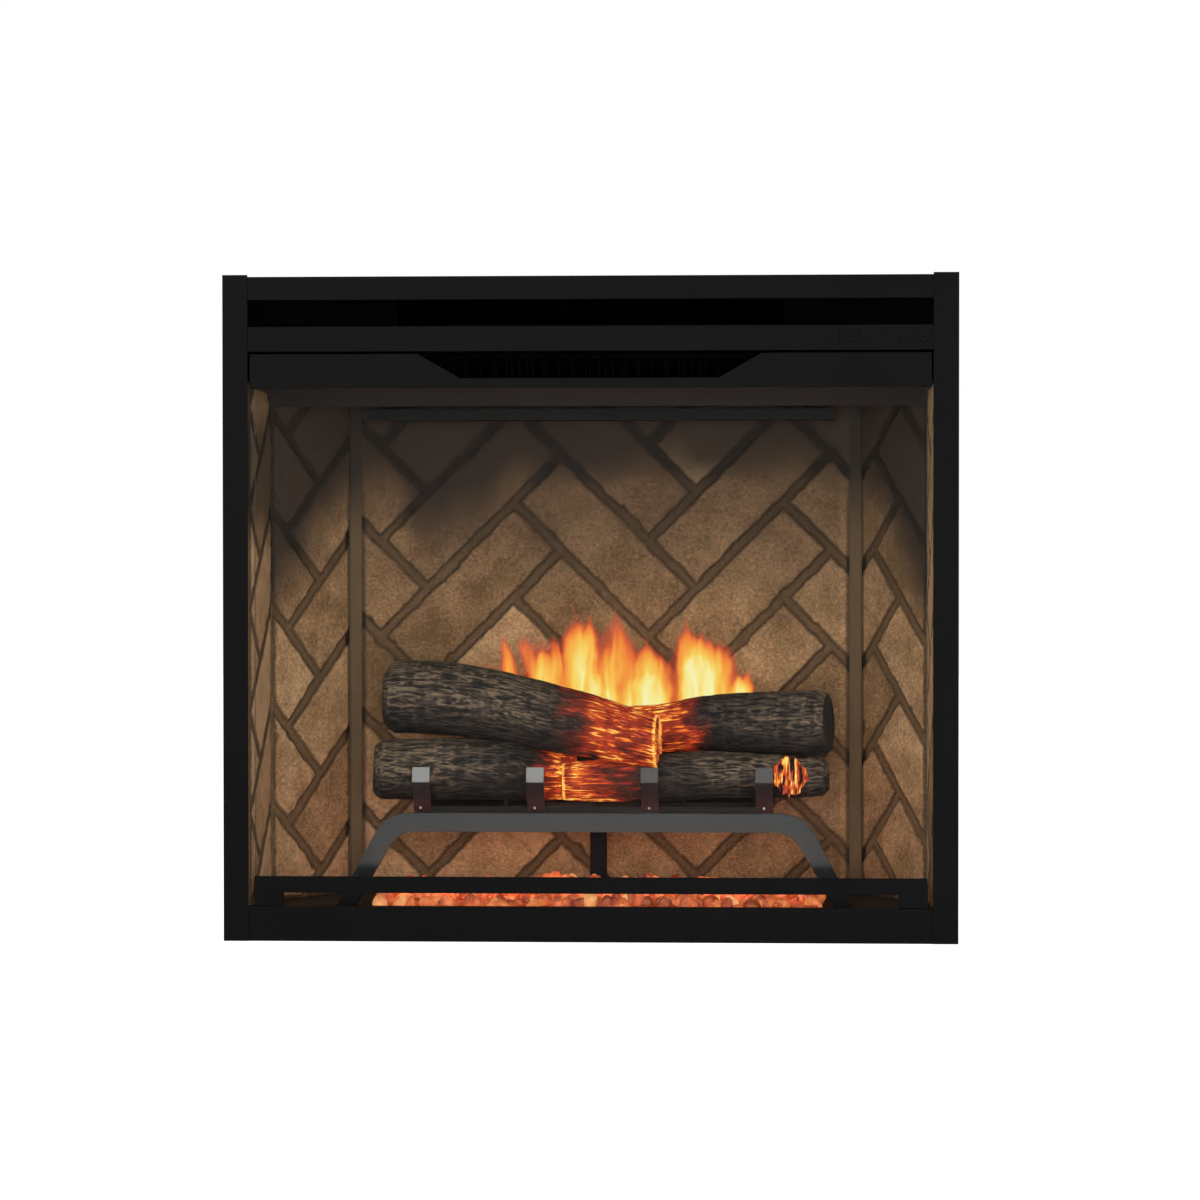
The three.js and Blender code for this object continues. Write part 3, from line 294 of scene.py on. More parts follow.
def barkPaint(name):  # charred bark with a fine lengthwise grain, and painted shade on each log's underside; it glows where the mesh says so
    paint = Paint(name, Specular_IOR_Level=0.22, Emission_Strength=1.0)
    grain = paint.node("Attribute", {"attribute_name": "grain"}, out="Vector")

    def fibres(along, around, *settings):  # noise drawn out along the log
        at = paint.node("Mapping", None, {"Vector": grain, "Scale": (along, around, around)})
        return paint.noise(at, 1.0, *settings)

    fine = fibres(110, 900, 5.0, 0.65, 0.4)
    streak = fibres(40, 400, 4.0, 0.6)
    ridge, glow, cut, char = (paint.value(key) for key in ("ridge", "glow", "cut", "char"))
    height = ridge * 0.6 + fine * 0.44 + streak * 0.2 - char * 0.22
    bark = paint.stops(height, (0.36, 12, 10, 8), (0.52, 31, 26, 22),
                       (0.68, 54, 46, 38), (0.88, 98, 84, 67))
    tan = fine.ramp(0.52, 0.64) * ridge.ramp(0.45, 0.8) * (1 - char)
    bark = paint.blend(tan * 0.6, bark, tone(140, 116, 84))
    bark = paint.blend(cut * 0.8, bark, tone(40, 35, 33))
    bark = paint.blend(glow.ramp(0.05, 0.5) * 0.75, bark, tone(84, 26, 12))
    vein = fibres(30, 300, 3.0, 0.6, 0.6).ramp(0.5, 0.66)
    heat = glow * (vein * 0.72 + fine * 0.56 + (1 - ridge) * 0.3)
    paint.set("Emission Color", paint.stops(
        heat, (0.14, 0, 0, 0), (0.3, 122, 30, 14), (0.5, 204, 72, 26), (0.72, 252, 158, 48),
        (0.95, 255, 228, 112)))
    return paint.dress(bark, fine * 0.2 + 0.66, fine * 0.7 + streak * 0.3, 0.0013, 0.8)


def flamePaint(name):  # the clear sheet, with the flames shining on it
    paint = Paint(name, tone(12, 14, 14), IOR=1.45, Specular_IOR_Level=0.2, Emission_Strength=1.0)
    veil = paint.value("veil")
    flame = paint.stops(
        paint.value("warmth"), (0.0, 212, 54, 54), (0.15, 230, 80, 54),
        (0.3, 244, 126, 54), (0.48, 254, 182, 70), (0.65, 255, 217, 100),
        (0.79, 255, 242, 154), (0.93, 255, 250, 200))
    paint.set("Emission Color", paint.blend(veil.ramp(0.0, 0.04), (0, 0, 0, 1), flame))
    paint.set("Alpha", veil.maths("MAXIMUM", 0.04))
    paint.set("Roughness", veil.ramp(0.0, 0.1, 0.03, 1.0))
    return paint


def emberPaint(name, strength):  # lit from inside, each stone by its own warmth
    paint = Paint(name, Roughness=0.35, Specular_IOR_Level=0.5, Emission_Strength=strength)
    spot = paint.noise(paint.place(), 60.0, 3.0)
    paint.set("Base Color", paint.stops(spot, (0.3, 100, 34, 18), (0.7, 184, 96, 54)))
    warm = paint.value("warmth") * 0.75 + spot * 0.4
    paint.set("Emission Color", paint.stops(
        warm, (0.28, 48, 14, 10), (0.44, 150, 58, 34), (0.6, 206, 104, 60),
        (0.82, 246, 150, 80), (1.0, 255, 216, 140)))
    return paint


paints = {
    "frame_paint": sprayed("framePaint", tone(6, 6, 6), 0.45, 0.04),
    "liner_paint": sprayed("linerPaint", tone(33, 28, 25), 0.7, 0.15),
    "trim_paint": trimAngle("trimPaint"),
    "grate_steel": grateSteel("gratePaint"),
    "blackened_aluminium": sprayed("blackenedMetal", tone(6, 6, 6), 0.8, 0.02),
    "galvanised_sheet": zincSheet("zincSheet"),
    "aluminium": brushed("millAluminium", (0.6, 0.61, 0.62, 1), 0.4),
    "mirror_foil": brushed("mirrorFoil", (0.82, 0.82, 0.84, 1), 0.14),
    "motor_steel": brushed("motorSteel", (0.35, 0.35, 0.36, 1), 0.42, (60, 1, 60)),
    "black_plastic": moulded("blackPlastic", tone(7, 7, 7), 0.55, 0.04),
    "dark_lens": moulded("darkLens", tone(7, 5, 6), 0.35, 0.03),
    "circuit_board": circuitPaint("circuitBoard"),
    "clear_glass": paneGlass("clearGlass"),
    "clear_acrylic": flamePaint("clearAcrylic"),
    "brick_face": wallPaint("brickFace"),
    "log_bark": barkPaint("charredBark"),
    "ember_resin": emberPaint("emberResin", 0.48),
}
slotOf = {part["node"]: part["material_slot"] for part in frame["record"]["subparts"]}


def placed(name, data):  # a new object in the scene
    made = bpy.data.objects.new(name, data)
    bpy.context.scene.collection.objects.link(made)
    return made


def coat(piece, slot):
    piece.data.materials.clear()
    piece.data.materials.append(paints[slot].material)


for name, part in nodes.items():
    coat(part, slotOf[name])
unlike = [  # nodes whose look departs from their slot's
    (grateSteel("prongSteel", caps=True), [f"grate_prong_{i}" for i in (1, 2, 3, 4)]),
    (shelfSteel("shelfSteel"), ["log_shelf"]),
    (sprayed("channelPaint", tone(17, 17, 16), 0.6, 0.1), ["panel_top_channel"]),
    # painted shade: the heater, blower, grille and intake baffles are painted near black for the shadow they
    # sit in
    (sprayed("shadowBlack", tone(1, 1, 1), 0.9, 0.0), [
        "heater_scroll", "heater_duct_roof", "heater_end_left", "heater_end_right", "blower_motor",
        "outlet_grille", "intake_baffle_left", "intake_baffle_right"]),
]
for paint, names in unlike:
    for name in names:
        nodes[name].data.materials[0] = paint.material
print("paints ready:", len(paints))


def soften(name, width):  # rounds a plain CAD node's edges a little
    part = nodes[name]
    weld = part.modifiers.new("weld", "WELD")
    weld.merge_threshold = 0.00001
    flatten = part.modifiers.new("flatten", "DECIMATE")
    flatten.decimate_type, flatten.angle_limit = "DISSOLVE", math.radians(0.5)
    bevel = part.modifiers.new("bevel", "BEVEL")
    bevel.width, bevel.segments, bevel.limit_method = width, 2, "ANGLE"
    bevel.angle_limit, bevel.harden_normals = math.radians(35), True


softened = {  # the rounding in metres, and the nodes that get it
    0.0005: ["left_stile", "right_stile", "top_rail", "heater_rail", "bottom_rail",
             "glass_bottom_bracket"],
    0.0004: ["glass_top_plate", "corner_trim_left", "corner_trim_right", "firebox_hood",
             "panel_top_channel", "hearth_floor"],
    0.0007: ["grate_arch", "grate_prong_1", "grate_prong_2", "grate_prong_3", "grate_prong_4"],
    0.0003: ["glass_pane", "button_1", "button_2", "button_3", "ir_receiver_lens", "cable_clamp",
             "junction_box"],
}
for width, names in softened.items():
    for name in names:
        soften(name, width)
print("edges softened")


view = {  # the photo's camera, in millimetres, radians and pixels
    "x": 332.8, "d": -4236.0, "z": 456.7, "left": 0.044, "down": 0.0166, "focal": 3223.4,
    "centre": (700, 650),
}


def makeCamera():
    data = bpy.data.cameras.new("camera")
    data.sensor_width = 36.0
    data.lens = view["focal"] / imageSize * data.sensor_width
    data.shift_x = (imageSize / 2 - view["centre"][0]) / imageSize
    data.shift_y = (view["centre"][1] - imageSize / 2) / imageSize
    data.clip_end = 60.0
    camera = placed("camera", data)
    camera.location = (view["x"] * mm, (frontPlane + view["d"]) * mm, view["z"] * mm)
    camera.rotation_euler = (math.pi / 2 - view["down"], 0.0, view["left"])
    bpy.context.scene.camera = camera


white = (1, 1, 1)
lamps = {  # place, target, size in metres, power and colour
    "keyLamp": ((-1.6, -4.2, 2.6), (0, 0, 0.45), (2.4, 2.4), 80.0, white),
    "fillLamp": ((2.6, -3.4, 1.4), (0, 0, 0.45), (2.0, 2.0), 40.0, white),
    "backLamp": ((1.5, 3.6, 3.0), (0, 0, 0.4), (2.5, 2.5), 60.0, white),
    "frontLamp": ((0.2, -3.0, 0.5), (0, 0, 0.42), (1.0, 1.0), 75.0, white),
    "hearthGlow": ((0, -0.11, 0.085), (0, 0.115, 0.12), (0.56, 0.05), 0.5, (1.0, 0.37, 0.19)),
}
stage = {"reach": 14.0, "drop": 0.0005, "floorGlow": 0.85, "world": 0.4}


def areaLamp(name, place, target, size, power, color):
    data = bpy.data.lights.new(name, "AREA")
    data.shape = "RECTANGLE"
    data.size, data.size_y = size
    data.energy, data.color = power, color
    lamp = placed(name, data)
    lamp.location = place
    lamp.rotation_euler = (Vector(target) - Vector(place)).to_track_quat("-Z", "Y").to_euler()
    return lamp


def seenDirectly(tree):  # 1 where the camera looks, also by a mirror image or through glass
    path = tree.nodes.new("ShaderNodeLightPath")
    seen = path.outputs["Is Camera Ray"]
    for ray in ("Is Glossy Ray", "Is Transmission Ray"):
        either = tree.nodes.new("ShaderNodeMath")
        either.operation = "MAXIMUM"
        tree.links.new(seen, either.inputs[0])
        tree.links.new(path.outputs[ray], either.inputs[1])
        seen = either.outputs[0]
    return seen


def makeStage():
    mesh = bpy.data.meshes.new("floor")
    reach = stage["reach"]
    edge = [(-reach, -reach, 0), (reach, -reach, 0), (reach, reach, 0), (-reach, reach, 0)]
    mesh.from_pydata(edge, [], [(0, 1, 2, 3)])
    floor = placed("floor", mesh)
    floor.location.z = -stage["drop"]
    paint = Paint("floorPaint", (0.62, 0.62, 0.62, 1), Roughness=0.9, Specular_IOR_Level=0.1,
                  Emission_Color=(1, 1, 1, 1))
    paint.set("Emission Strength", Wire(paint, seenDirectly(paint.tree)) * stage["floorGlow"])
    mesh.materials.append(paint.material)

    world = bpy.data.worlds.new("studio")
    bpy.context.scene.world = world
    world.use_nodes = True
    tree = world.node_tree
    background = tree.nodes["Background"]
    background.inputs["Color"].default_value = (1, 1, 1, 1)
    strength = tree.nodes.new("ShaderNodeMapRange")
    strength.inputs["To Min"].default_value = stage["world"]
    strength.inputs["To Max"].default_value = 1.0
    tree.links.new(seenDirectly(tree), strength.inputs["Value"])
    tree.links.new(strength.outputs["Result"], background.inputs["Strength"])

    made = {name: areaLamp(name, *settings) for name, settings in lamps.items()}
    made["frontLamp"].visible_glossy = False  # or it would stand as a square in the glass
    hearth = made["hearthGlow"]
    hearth.visible_camera = hearth.visible_glossy = hearth.visible_transmission = False


makeCamera()
makeStage()
bpy.context.scene.view_settings.view_transform = "Standard"
print("camera and stage ready")


hashing = {"x": 374761393, "y": 668265263, "z": 1442695041, "seed": 974711, "mix": 1274126177}


def joined(*parts):  # columns side by side
    return np.stack(parts, 1)


def latticeNoise(points, seed):  # smooth value noise between -1 and 1
    cell = np.floor(points).astype(np.int64)
    inner = points - cell
    inner = inner * inner * (3 - 2 * inner)
    total = np.zeros(len(points))
    for corner in itertools.product((0, 1), repeat=3):
        mixed = (cell + corner) @ [hashing[axis] for axis in "xyz"] + seed * hashing["seed"]
        mixed &= 0xFFFFFFFF
        mixed = ((mixed ^ (mixed >> 13)) * hashing["mix"]) & 0xFFFFFFFF
        mixed = (mixed ^ (mixed >> 16)) & 0xFFFFFF
        weight = np.prod(np.where(corner, inner, 1 - inner), axis=1)
        total += weight * (mixed / 0x7FFFFF - 1)
    return total


def layered(points, octaves, seed):  # the same noise in ever finer and weaker layers
    return sum(latticeNoise(points * 2 ** i, seed + i) / 2 ** i for i in range(octaves))


def step(low, high, value):  # smooth step, 0 to 1
    share = np.clip((value - low) / (high - low), 0, 1)
    return share * share * (3 - 2 * share)


def belt(first, second):  # quads between two rings of points
    return joined(first, np.roll(first, -1), np.roll(second, -1), second)


def newPiece(name, points, faces, slot, values, body="root", smooth=True):
    mesh = bpy.data.meshes.new(name)
    mesh.from_pydata([tuple(p) for p in points], [], [tuple(f) for f in faces])
    for key, numbers in values.items():
        numbers = np.asarray(numbers, np.float32)
        kind, field = ("FLOAT", "value") if numbers.ndim == 1 else ("FLOAT_VECTOR", "vector")
        mesh.attributes.new(key, kind, "POINT").data.foreach_set(field, numbers.ravel())
    mesh.polygons.foreach_set("use_smooth", [smooth] * len(mesh.polygons))
    piece = placed(name, mesh)
    coat(piece, slot)
    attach(piece, body)
    return piece


# Herringbone walls. All measures are in millimetres.
wall = {
    "pitch": 95.3, "length": 267.9, "joint": 13.0, "relief": 3.0, "slab": 10.0, "grid": 2.5,
    "floor": 39.3, "top": 729.5, "frontTop": 740.3, "slopeStart": 103.4, "slopeFall": 25 / 28,
    "wander": 1.3, "chip": 0.9, "bite": 3.0, "rim": 4.0,
}
corners = {  # where the side walls bend, as x and depth
    "front": (451.5, 17.6), "corner": (447.5, 150.0), "rearStart": (445.5, 151.2), "rearEnd": (359.5, 286.0),
}
paintedShade = {  # where the painted shade starts on each wall, and how far it fades below and above
    "rearFrom": 280, "frontTo": 151, "cloud": 80, "wander": 22, "trim": 343.5,
    "rear": 634, "blob": 76, "left": 34, "right": 14, "facet": 482, "facetStart": 155, "climb": 1.05,
    "fade": ((88, 62), (110, 58)), "inward": (-300, -262), "blobEnd": (-190, -110), "rightward": (60, 240),
    "haze": (400, 600), "upperShadeInward": (-220, -90), "strip": (500, 590), "stripTop": (640, 700),
}


def brickField(u, v, node, turn):  # distance inside the nearest brick, and that brick's own number
    du, dv = turn * (u - node[0]), turn * (v - node[1])
    a, b = (du + dv) * math.sqrt(0.5), (dv - du) * math.sqrt(0.5)
    best, number = np.full(u.shape, -99.0), np.zeros(u.shape)
    pitch, length = wall["pitch"], wall["length"]
    for band in range(-5, 6):
        for k in range(-14, 15):
            a0, b0 = k * pitch - band * length, k * pitch + band * length
            boxes = (a0, a0 + length, b0, b0 + pitch), (a0 - pitch, a0, b0, b0 + length)
            for tall, (x0, x1, y0, y1) in enumerate(boxes):
                inside = np.minimum.reduce([a - x0, x1 - a, b - y0, y1 - b])
                nearer = inside > best
                best = np.where(nearer, inside, best)
                number = np.where(nearer, 97 * band + 7 * k + 3 * tall + 400, number)
    return best, number


def gridShell(rows, columns):  # faces of a grid, its rim and one flat back whose points follow the ring
    index = np.arange(rows * columns).reshape(rows, columns)
    quad = index[:-1, :-1], index[:-1, 1:], index[1:, 1:], index[1:, :-1]
    faces = np.stack(quad, -1).reshape(-1, 4).tolist()
    ring = np.concatenate([index[0], index[1:, -1], index[-1, -2::-1], index[-2:0:-1, 0]]).tolist()
    base, count = index.size, len(ring)
    for i in range(count):
        j = (i + 1) % count
        faces.append([ring[j], ring[i], base + i, base + j])
    faces.append([base + i for i in range(count - 1, -1, -1)])
    return faces, ring


def slabPiece(name, start, end, outlineTop, node, turn, seed, nodeName, paintedLight=lambda z: 0, flush=None):
    start, end = np.array(start, float), np.array(end, float)
    length = np.linalg.norm(end - start)
    along = (end - start) / length
    facing = np.array([along[1], -along[0]])  # horizontal normal, towards the viewer's side
    columns = int(length / wall["grid"]) + 1
    rows = int((wall["top"] - wall["floor"]) / wall["grid"]) + 1
    us = np.linspace(0, length, columns)
    u, tops = np.tile(us, rows), np.tile(outlineTop(us), rows)
    share = np.repeat(np.linspace(0, 1, rows), columns)
    v = wall["floor"] + share * (tops - wall["floor"])

    def patches(size, octaves, layer, noiseSeed):
        at = joined(u / size, v / size, np.full(u.shape, layer))
        return layered(at, octaves, noiseSeed)

    wobble = joined(u / 17, v / 17, np.full(u.shape, seed * 3.1))
    inside, number = brickField(u + wall["wander"] * latticeNoise(wobble, seed),
                                v + wall["wander"] * latticeNoise(wobble + 9, seed), node, turn)
    sides = {"start": u, "end": length - u, "floor": v - wall["floor"], "top": tops - v}
    rim = np.minimum.reduce([gap for side, gap in sides.items() if side != flush])
    chips, grain = patches(9, 3, seed, seed), patches(30, 4, seed + 5, seed)
    bites = wall["bite"] * step(0.5, 1.1, patches(26, 2, seed + 2, seed + 40))
    half = wall["joint"] / 2
    depth = np.minimum(inside, rim - wall["rim"] + half) - half + wall["chip"] * chips - bites
    brick = step(-0.6, 1.6, depth)
    toneAndLight = (np.sin(number * 12.9898 + seed) * 43758.5453) % 1.0 + paintedLight(v)  # each brick's own tone, at random, plus the wall's painted light
    height = -wall["relief"] * (1 - step(-1.8, 2.2, depth))
    height += brick * (0.45 * grain - 0.35 + 0.25 * chips)
    height = np.minimum(height + 0.15 * chips * (1 - brick), 0.25)
    creaseShade = step(-3.6, -0.6, depth) * (1 - step(-0.4, 3.4, depth))  # painted shade: a dark line round each brick, where the face drops into the joint
    x = start[0] + along[0] * u + facing[0] * height
    d = start[1] + along[1] * u + facing[1] * height
    front = joined(x, frontPlane + d, v) * mm
    quads, ring = gridShell(rows, columns)
    back = front[ring]
    back[:, 0] = (start[0] + along[0] * u[ring] - facing[0] * wall["slab"]) * mm
    back[:, 1] = (frontPlane + start[1] + along[1] * u[ring] - facing[1] * wall["slab"]) * mm
    values = {"brick": brick, "toneAndLight": toneAndLight, "soot": paintedShadeOver(x, d, v), "rim": creaseShade}
    piece = newPiece(name, np.concatenate([front, back]), quads, "brick_face", {
        key: np.concatenate([numbers, numbers[ring]]) for key, numbers in values.items()})
    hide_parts(nodeName)


def paintedShadeOver(x, d, z):  # painted shade: how dark each wall is painted where it lies in shadow, 0 to 1
    atRear = d > paintedShade["rearFrom"]
    inward = step(*paintedShade["inward"], x)
    blob = inward * (1 - step(*paintedShade["blobEnd"], x))
    rear = (paintedShade["rear"] - paintedShade["blob"] * blob - paintedShade["left"] * (1 - inward)
            - paintedShade["right"] * step(*paintedShade["rightward"], x))
    edge = np.where(atRear, rear, paintedShade["facet"] + (d - paintedShade["facetStart"]) * paintedShade["climb"])
    wavyHeight = z + paintedShade["wander"] * layered(joined(x, d, z) / paintedShade["cloud"], 2, 4)
    onRear, onFacet = (step(edge - below, edge + above, wavyHeight) for below, above in paintedShade["fade"])
    # painted shade over the upper back wall, a dark band beside the trims, and shade on the front strips
    # below their lit tops
    haze = (0.28 + 0.22 * step(*paintedShade["upperShadeInward"], x)) * step(*paintedShade["haze"], wavyHeight)
    besideTrim = 0.8 * (1 - step(2.5, 8, paintedShade["trim"] - np.abs(x))) * atRear
    strip = np.where(x > 0, 0.24 - 0.12 * step(*paintedShade["stripTop"], z), 0.82)
    strip *= step(*paintedShade["strip"], wavyHeight) * (1 - 0.4 * step(660, 715, z))
    behind = np.maximum.reduce([np.where(atRear, onRear, onFacet), haze, besideTrim])
    return 0.97 * np.where(d < paintedShade["frontTo"], strip, behind)


def makeWalls():
    front, corner, rearStart, rearEnd = corners.values()
    rearLength, frontLength = math.dist(rearStart, rearEnd), math.dist(front, corner)

    def flat(us):
        return np.full(us.shape, wall["top"])

    def falling(us):
        return wall["frontTop"] - np.maximum(us - wall["slopeStart"], 0) * wall["slopeFall"]

    def mirrored(point):
        return -point[0], point[1]

    # painted light: the last function given to a wall makes the front walls' bricks paler, and the rear right
    # wall's bricks darker towards the floor
    slabPiece("brickWallBack", (-350, 286), (350, 286), flat, (478.5, 63.5), 1, 1, "brick_back_panel")
    slabPiece("brickWallRearLeft", mirrored(rearStart), mirrored(rearEnd), flat, (97.6, 74), 1, 2,
              "brick_rear_left", flush="end")
    slabPiece("brickWallRearRight", rearEnd, rearStart, flat, (rearLength - 131.6, 119), -1, 3,
              "brick_rear_right", lambda z: 0.6 * step(60, 330, z) - 0.6, flush="start")
    slabPiece("brickWallFrontLeft", mirrored(front), mirrored(corner), falling, (61, 102), 1, 4,
              "brick_front_left", lambda z: 0.7)
    slabPiece("brickWallFrontRight", corner, front, lambda us: falling(frontLength - us),
              (frontLength - 61, 102), 1, 5, "brick_front_right", lambda z: 0.95 * step(120, 400, z))


makeWalls()
print("brick walls ready")


# Moulded logs: each is a row of stations, with x, depth, height and radius in millimetres.
timber = {
    "log_upper_left": {
        "stations": [(-287, 145, 318, 40), (-276, 144, 319, 49), (-226, 138, 319, 50),
                     (-158, 130, 312, 49), (-76, 118, 296, 47), (5, 106, 279, 42.5),
                     (60, 97, 266, 37.5), (86, 93, 261, 37)],
        "glow": (-74, 44), "char": (-120, 30), "outline": "end", "across": (0.09, 0.996, 0), "seed": 11,
    },
    "log_upper_right": {
        "stations": [(40, 168, 276, 30), (91, 160, 277, 33), (138, 150, 283, 36.5), (219, 132, 285, 42),
                     (300, 114, 286, 44), (315, 111, 286, 40)],
        "glow": (175, 90), "char": (330, 60), "seed": 23,
    },
    "log_lower_left": {
        "stations": [(-302, 118, 222, 33), (-291, 118, 222, 40), (-200, 124, 222, 42),
                     (-110, 132, 221, 42), (-70, 140, 215, 36), (-30, 148, 212, 30)],
        "glow": (-100, -55), "char": (-220, -60), "seed": 37,
    },
    "log_lower_right": {
        "stations": [(-44, 110, 206, 25.5), (5, 110, 208, 28), (75, 112, 211, 31), (141, 114, 215, 32),
                     (195, 118, 215, 30), (270, 121, 214, 29), (306, 122, 214, 26), (315, 122, 214, 20)],
        "glow": (100, -30), "char": (190, 60), "outline": "start", "seed": 41,
    },
}
bark = {"along": 1.5, "round": 216, "capRings": 14, "furrow": 1.8, "swell": 0.7, "edge": 4.5, "worn": 1.2}


def smoothStations(stations, count):  # positions and radii along the log, bent without kinks
    stations = np.array(stations, float)
    at = np.concatenate([[0], np.cumsum(np.linalg.norm(np.diff(stations[:, :3], axis=0), axis=1))])
    where = np.linspace(0, at[-1], count)
    slopes = np.gradient(stations, at, axis=0)
    slot = np.clip(np.searchsorted(at, where, side="right") - 1, 0, len(at) - 2)
    span = at[slot + 1] - at[slot]
    t = ((where - at[slot]) / span)[:, None]
    p0, p1 = stations[slot], stations[slot + 1]
    m0, m1 = slopes[slot] * span[:, None], slopes[slot + 1] * span[:, None]
    curve = ((2 * t ** 3 - 3 * t ** 2 + 1) * p0 + (t ** 3 - 2 * t ** 2 + t) * m0
             + (3 * t ** 2 - 2 * t ** 3) * p1 + (t ** 3 - t ** 2) * m1)
    curve[:, 3] = np.interp(where, at, stations[:, 3])
    return curve, where


def barkHeight(along, arcA, arcB, seed):  # furrows run lengthwise and wander; 0 to 1
    warp = 2.6 * latticeNoise(joined(along / 46, arcA / 24, arcB / 24), seed)
    lines = joined(along / 19, (arcA + warp) / 2.6, (arcB + warp) / 2.6)
    coarse = 1 - np.abs(latticeNoise(lines, seed + 1)) * 1.5
    fine = 1 - np.abs(latticeNoise(lines * [2.2, 2.0, 2.0], seed + 2)) * 1.4
    return np.clip(0.55 * coarse + 0.45 * fine, 0, 1)


def logPiece(node, log):
    seed = log["seed"]
    count = int((log["stations"][-1][0] - log["stations"][0][0]) / bark["along"])
    curve, where = smoothStations(log["stations"], count)
    ends = np.array(log["stations"][-1][:3], float) - log["stations"][0][:3]
    along = ends / np.linalg.norm(ends)
    across = np.array(log.get("across", np.cross((0, 0, 1), along)))
    across /= np.linalg.norm(across)
    up = np.array((0.0, 0.0, 1.0)) if "across" in log else np.cross(along, across)
    turn = np.linspace(0, 2 * math.pi, bark["round"], endpoint=False)
    angle, station = np.tile(turn, count), np.repeat(np.arange(count), bark["round"])
    radius, u = curve[station, 3], where[station]
    cosine, sine = np.cos(angle), np.sin(angle)
    arcA, arcB = radius * cosine, radius * sine
    ridge = barkHeight(u, arcA, arcB, seed)
    swell = layered(joined(u / 70, cosine * 1.6 + 5, sine * 1.6), 2, seed + 7)
    fromEnd = np.minimum(u, where[-1] - u)
    plain = step(0, bark["edge"], fromEnd)  # the sawn edge is rounded and calmer
    grown = radius + plain * (bark["furrow"] * (ridge - 0.55) + bark["swell"] * swell)
    grown -= (1 - plain) * bark["worn"]
    side = curve[station, :3] + across * (grown * cosine)[:, None] + up * (grown * sine)[:, None]
    points, faces = [side], []
    ring = np.arange(bark["round"])
    values = {"ridge": [ridge], "cut": [np.zeros(len(u))], "grain": [joined(u, arcA, arcB) * mm]}
    for row in range(count - 1):
        faces.append(belt(row * bark["round"] + ring, (row + 1) * bark["round"] + ring))
    made = len(side)
    for last in (False, True):  # sawn ends with rings and a few radial checks
        first = (count - 1) * bark["round"] if last else 0
        centre = curve[-1 if last else 0, :3]
        outer = side[first:first + bark["round"]]
        before = first + ring
        for k in range(1, bark["capRings"]):
            share = 1 - k / bark["capRings"]
            at = joined(share * np.cos(turn) * 6, share * np.sin(turn) * 6, np.full(turn.shape, seed))
            rough = layered(at, 3, seed)
            split = np.clip(1 - np.abs(np.sin(turn * 2.5 + seed + 0.4 * rough)) * 14 * share, 0, 1) * 1.6
            dish = (0.33 * math.sin(share * 40) + 0.8 * rough + split) * (1 if last else -1)
            rings = centre + (outer - centre) * share - along * dish[:, None]
            points.append(rings)
            now = made + ring
            faces.append(belt(before, now) if last else belt(before, now)[:, ::-1])
            values["ridge"].append(0.45 + 0.25 * rough)
            values["cut"].append(np.ones(len(turn)))
            values["grain"].append(rings * mm * (0.4, 1, 1))
            before, made = now, made + len(turn)
        points.append(centre[None, :])
        hub = joined(before, np.roll(before, -1), np.full(before.shape, made))
        faces.append(hub if last else hub[:, ::-1])
        for key, value in (("ridge", 0.4), ("cut", 1.0)):
            values[key].append(np.array([value]))
        values["grain"].append(centre[None, :] * mm)
        made += 1
    points = np.concatenate(points)
    values = {key: np.concatenate(numbers) for key, numbers in values.items()}
    x = points[:, 0]
    values["glow"] = glowOver(log, points, values, where[-1])
    charred = towards(*log["char"], x)
    below = np.concatenate([sine, np.zeros(len(points) - len(sine))])
    # painted shade: the underside of each log is darkened like char, on top of the real char towards one end
    values["char"] = np.clip(charred + 0.9 * (1 - step(-0.75, 0.1, below)), 0, 1)
    quads = [face for block in faces for face in block.tolist()]
    pieceName = "bark" + "".join(word.title() for word in node.split("_")[1:])
    inPlace = points * mm + np.array([0, frontPlane * mm, 0])
    piece = newPiece(pieceName, inPlace, quads, "log_bark", values)
    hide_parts(node)


def towards(start, full, x):  # rises from start to full, whichever way that runs
    return step(start, full, x) if full > start else 1 - step(full, start, x)


def glowOver(log, points, values, length):  # lit patches, stronger along the edge of the burning end
    x = points[:, 0] + 17 * layered(points / [30, 30, 16], 3, log["seed"] + 9)
    blotch = layered(points / 22, 2, log["seed"] + 3)
    glow = towards(*log["glow"], x) * np.clip(0.78 + 0.5 * blotch, 0, 1.2)
    burning = log.get("outline")
    if burning:
        gap = np.abs(values["grain"][:, 0] / mm - (length if burning == "end" else 0))
        glow = np.maximum(glow, 1.7 * (1 - step(1.5, 6.0, gap)) * (values["cut"] < 0.5))
    return glow * (1 + (0.4 if burning else -0.5) * values["cut"])


for node, log in timber.items():
    logPiece(node, log)


# A branch broken off short at the front of the lower right log, still burning.
stump = {
    "x": 262, "z": 214, "root": 120, "tip": 85, "halfWide": 24, "halfHigh": 25,
    "round": 120, "rings": 22, "cap": 20, "jag": 0.13, "splinter": 0.3, "narrow": 0.34,
}


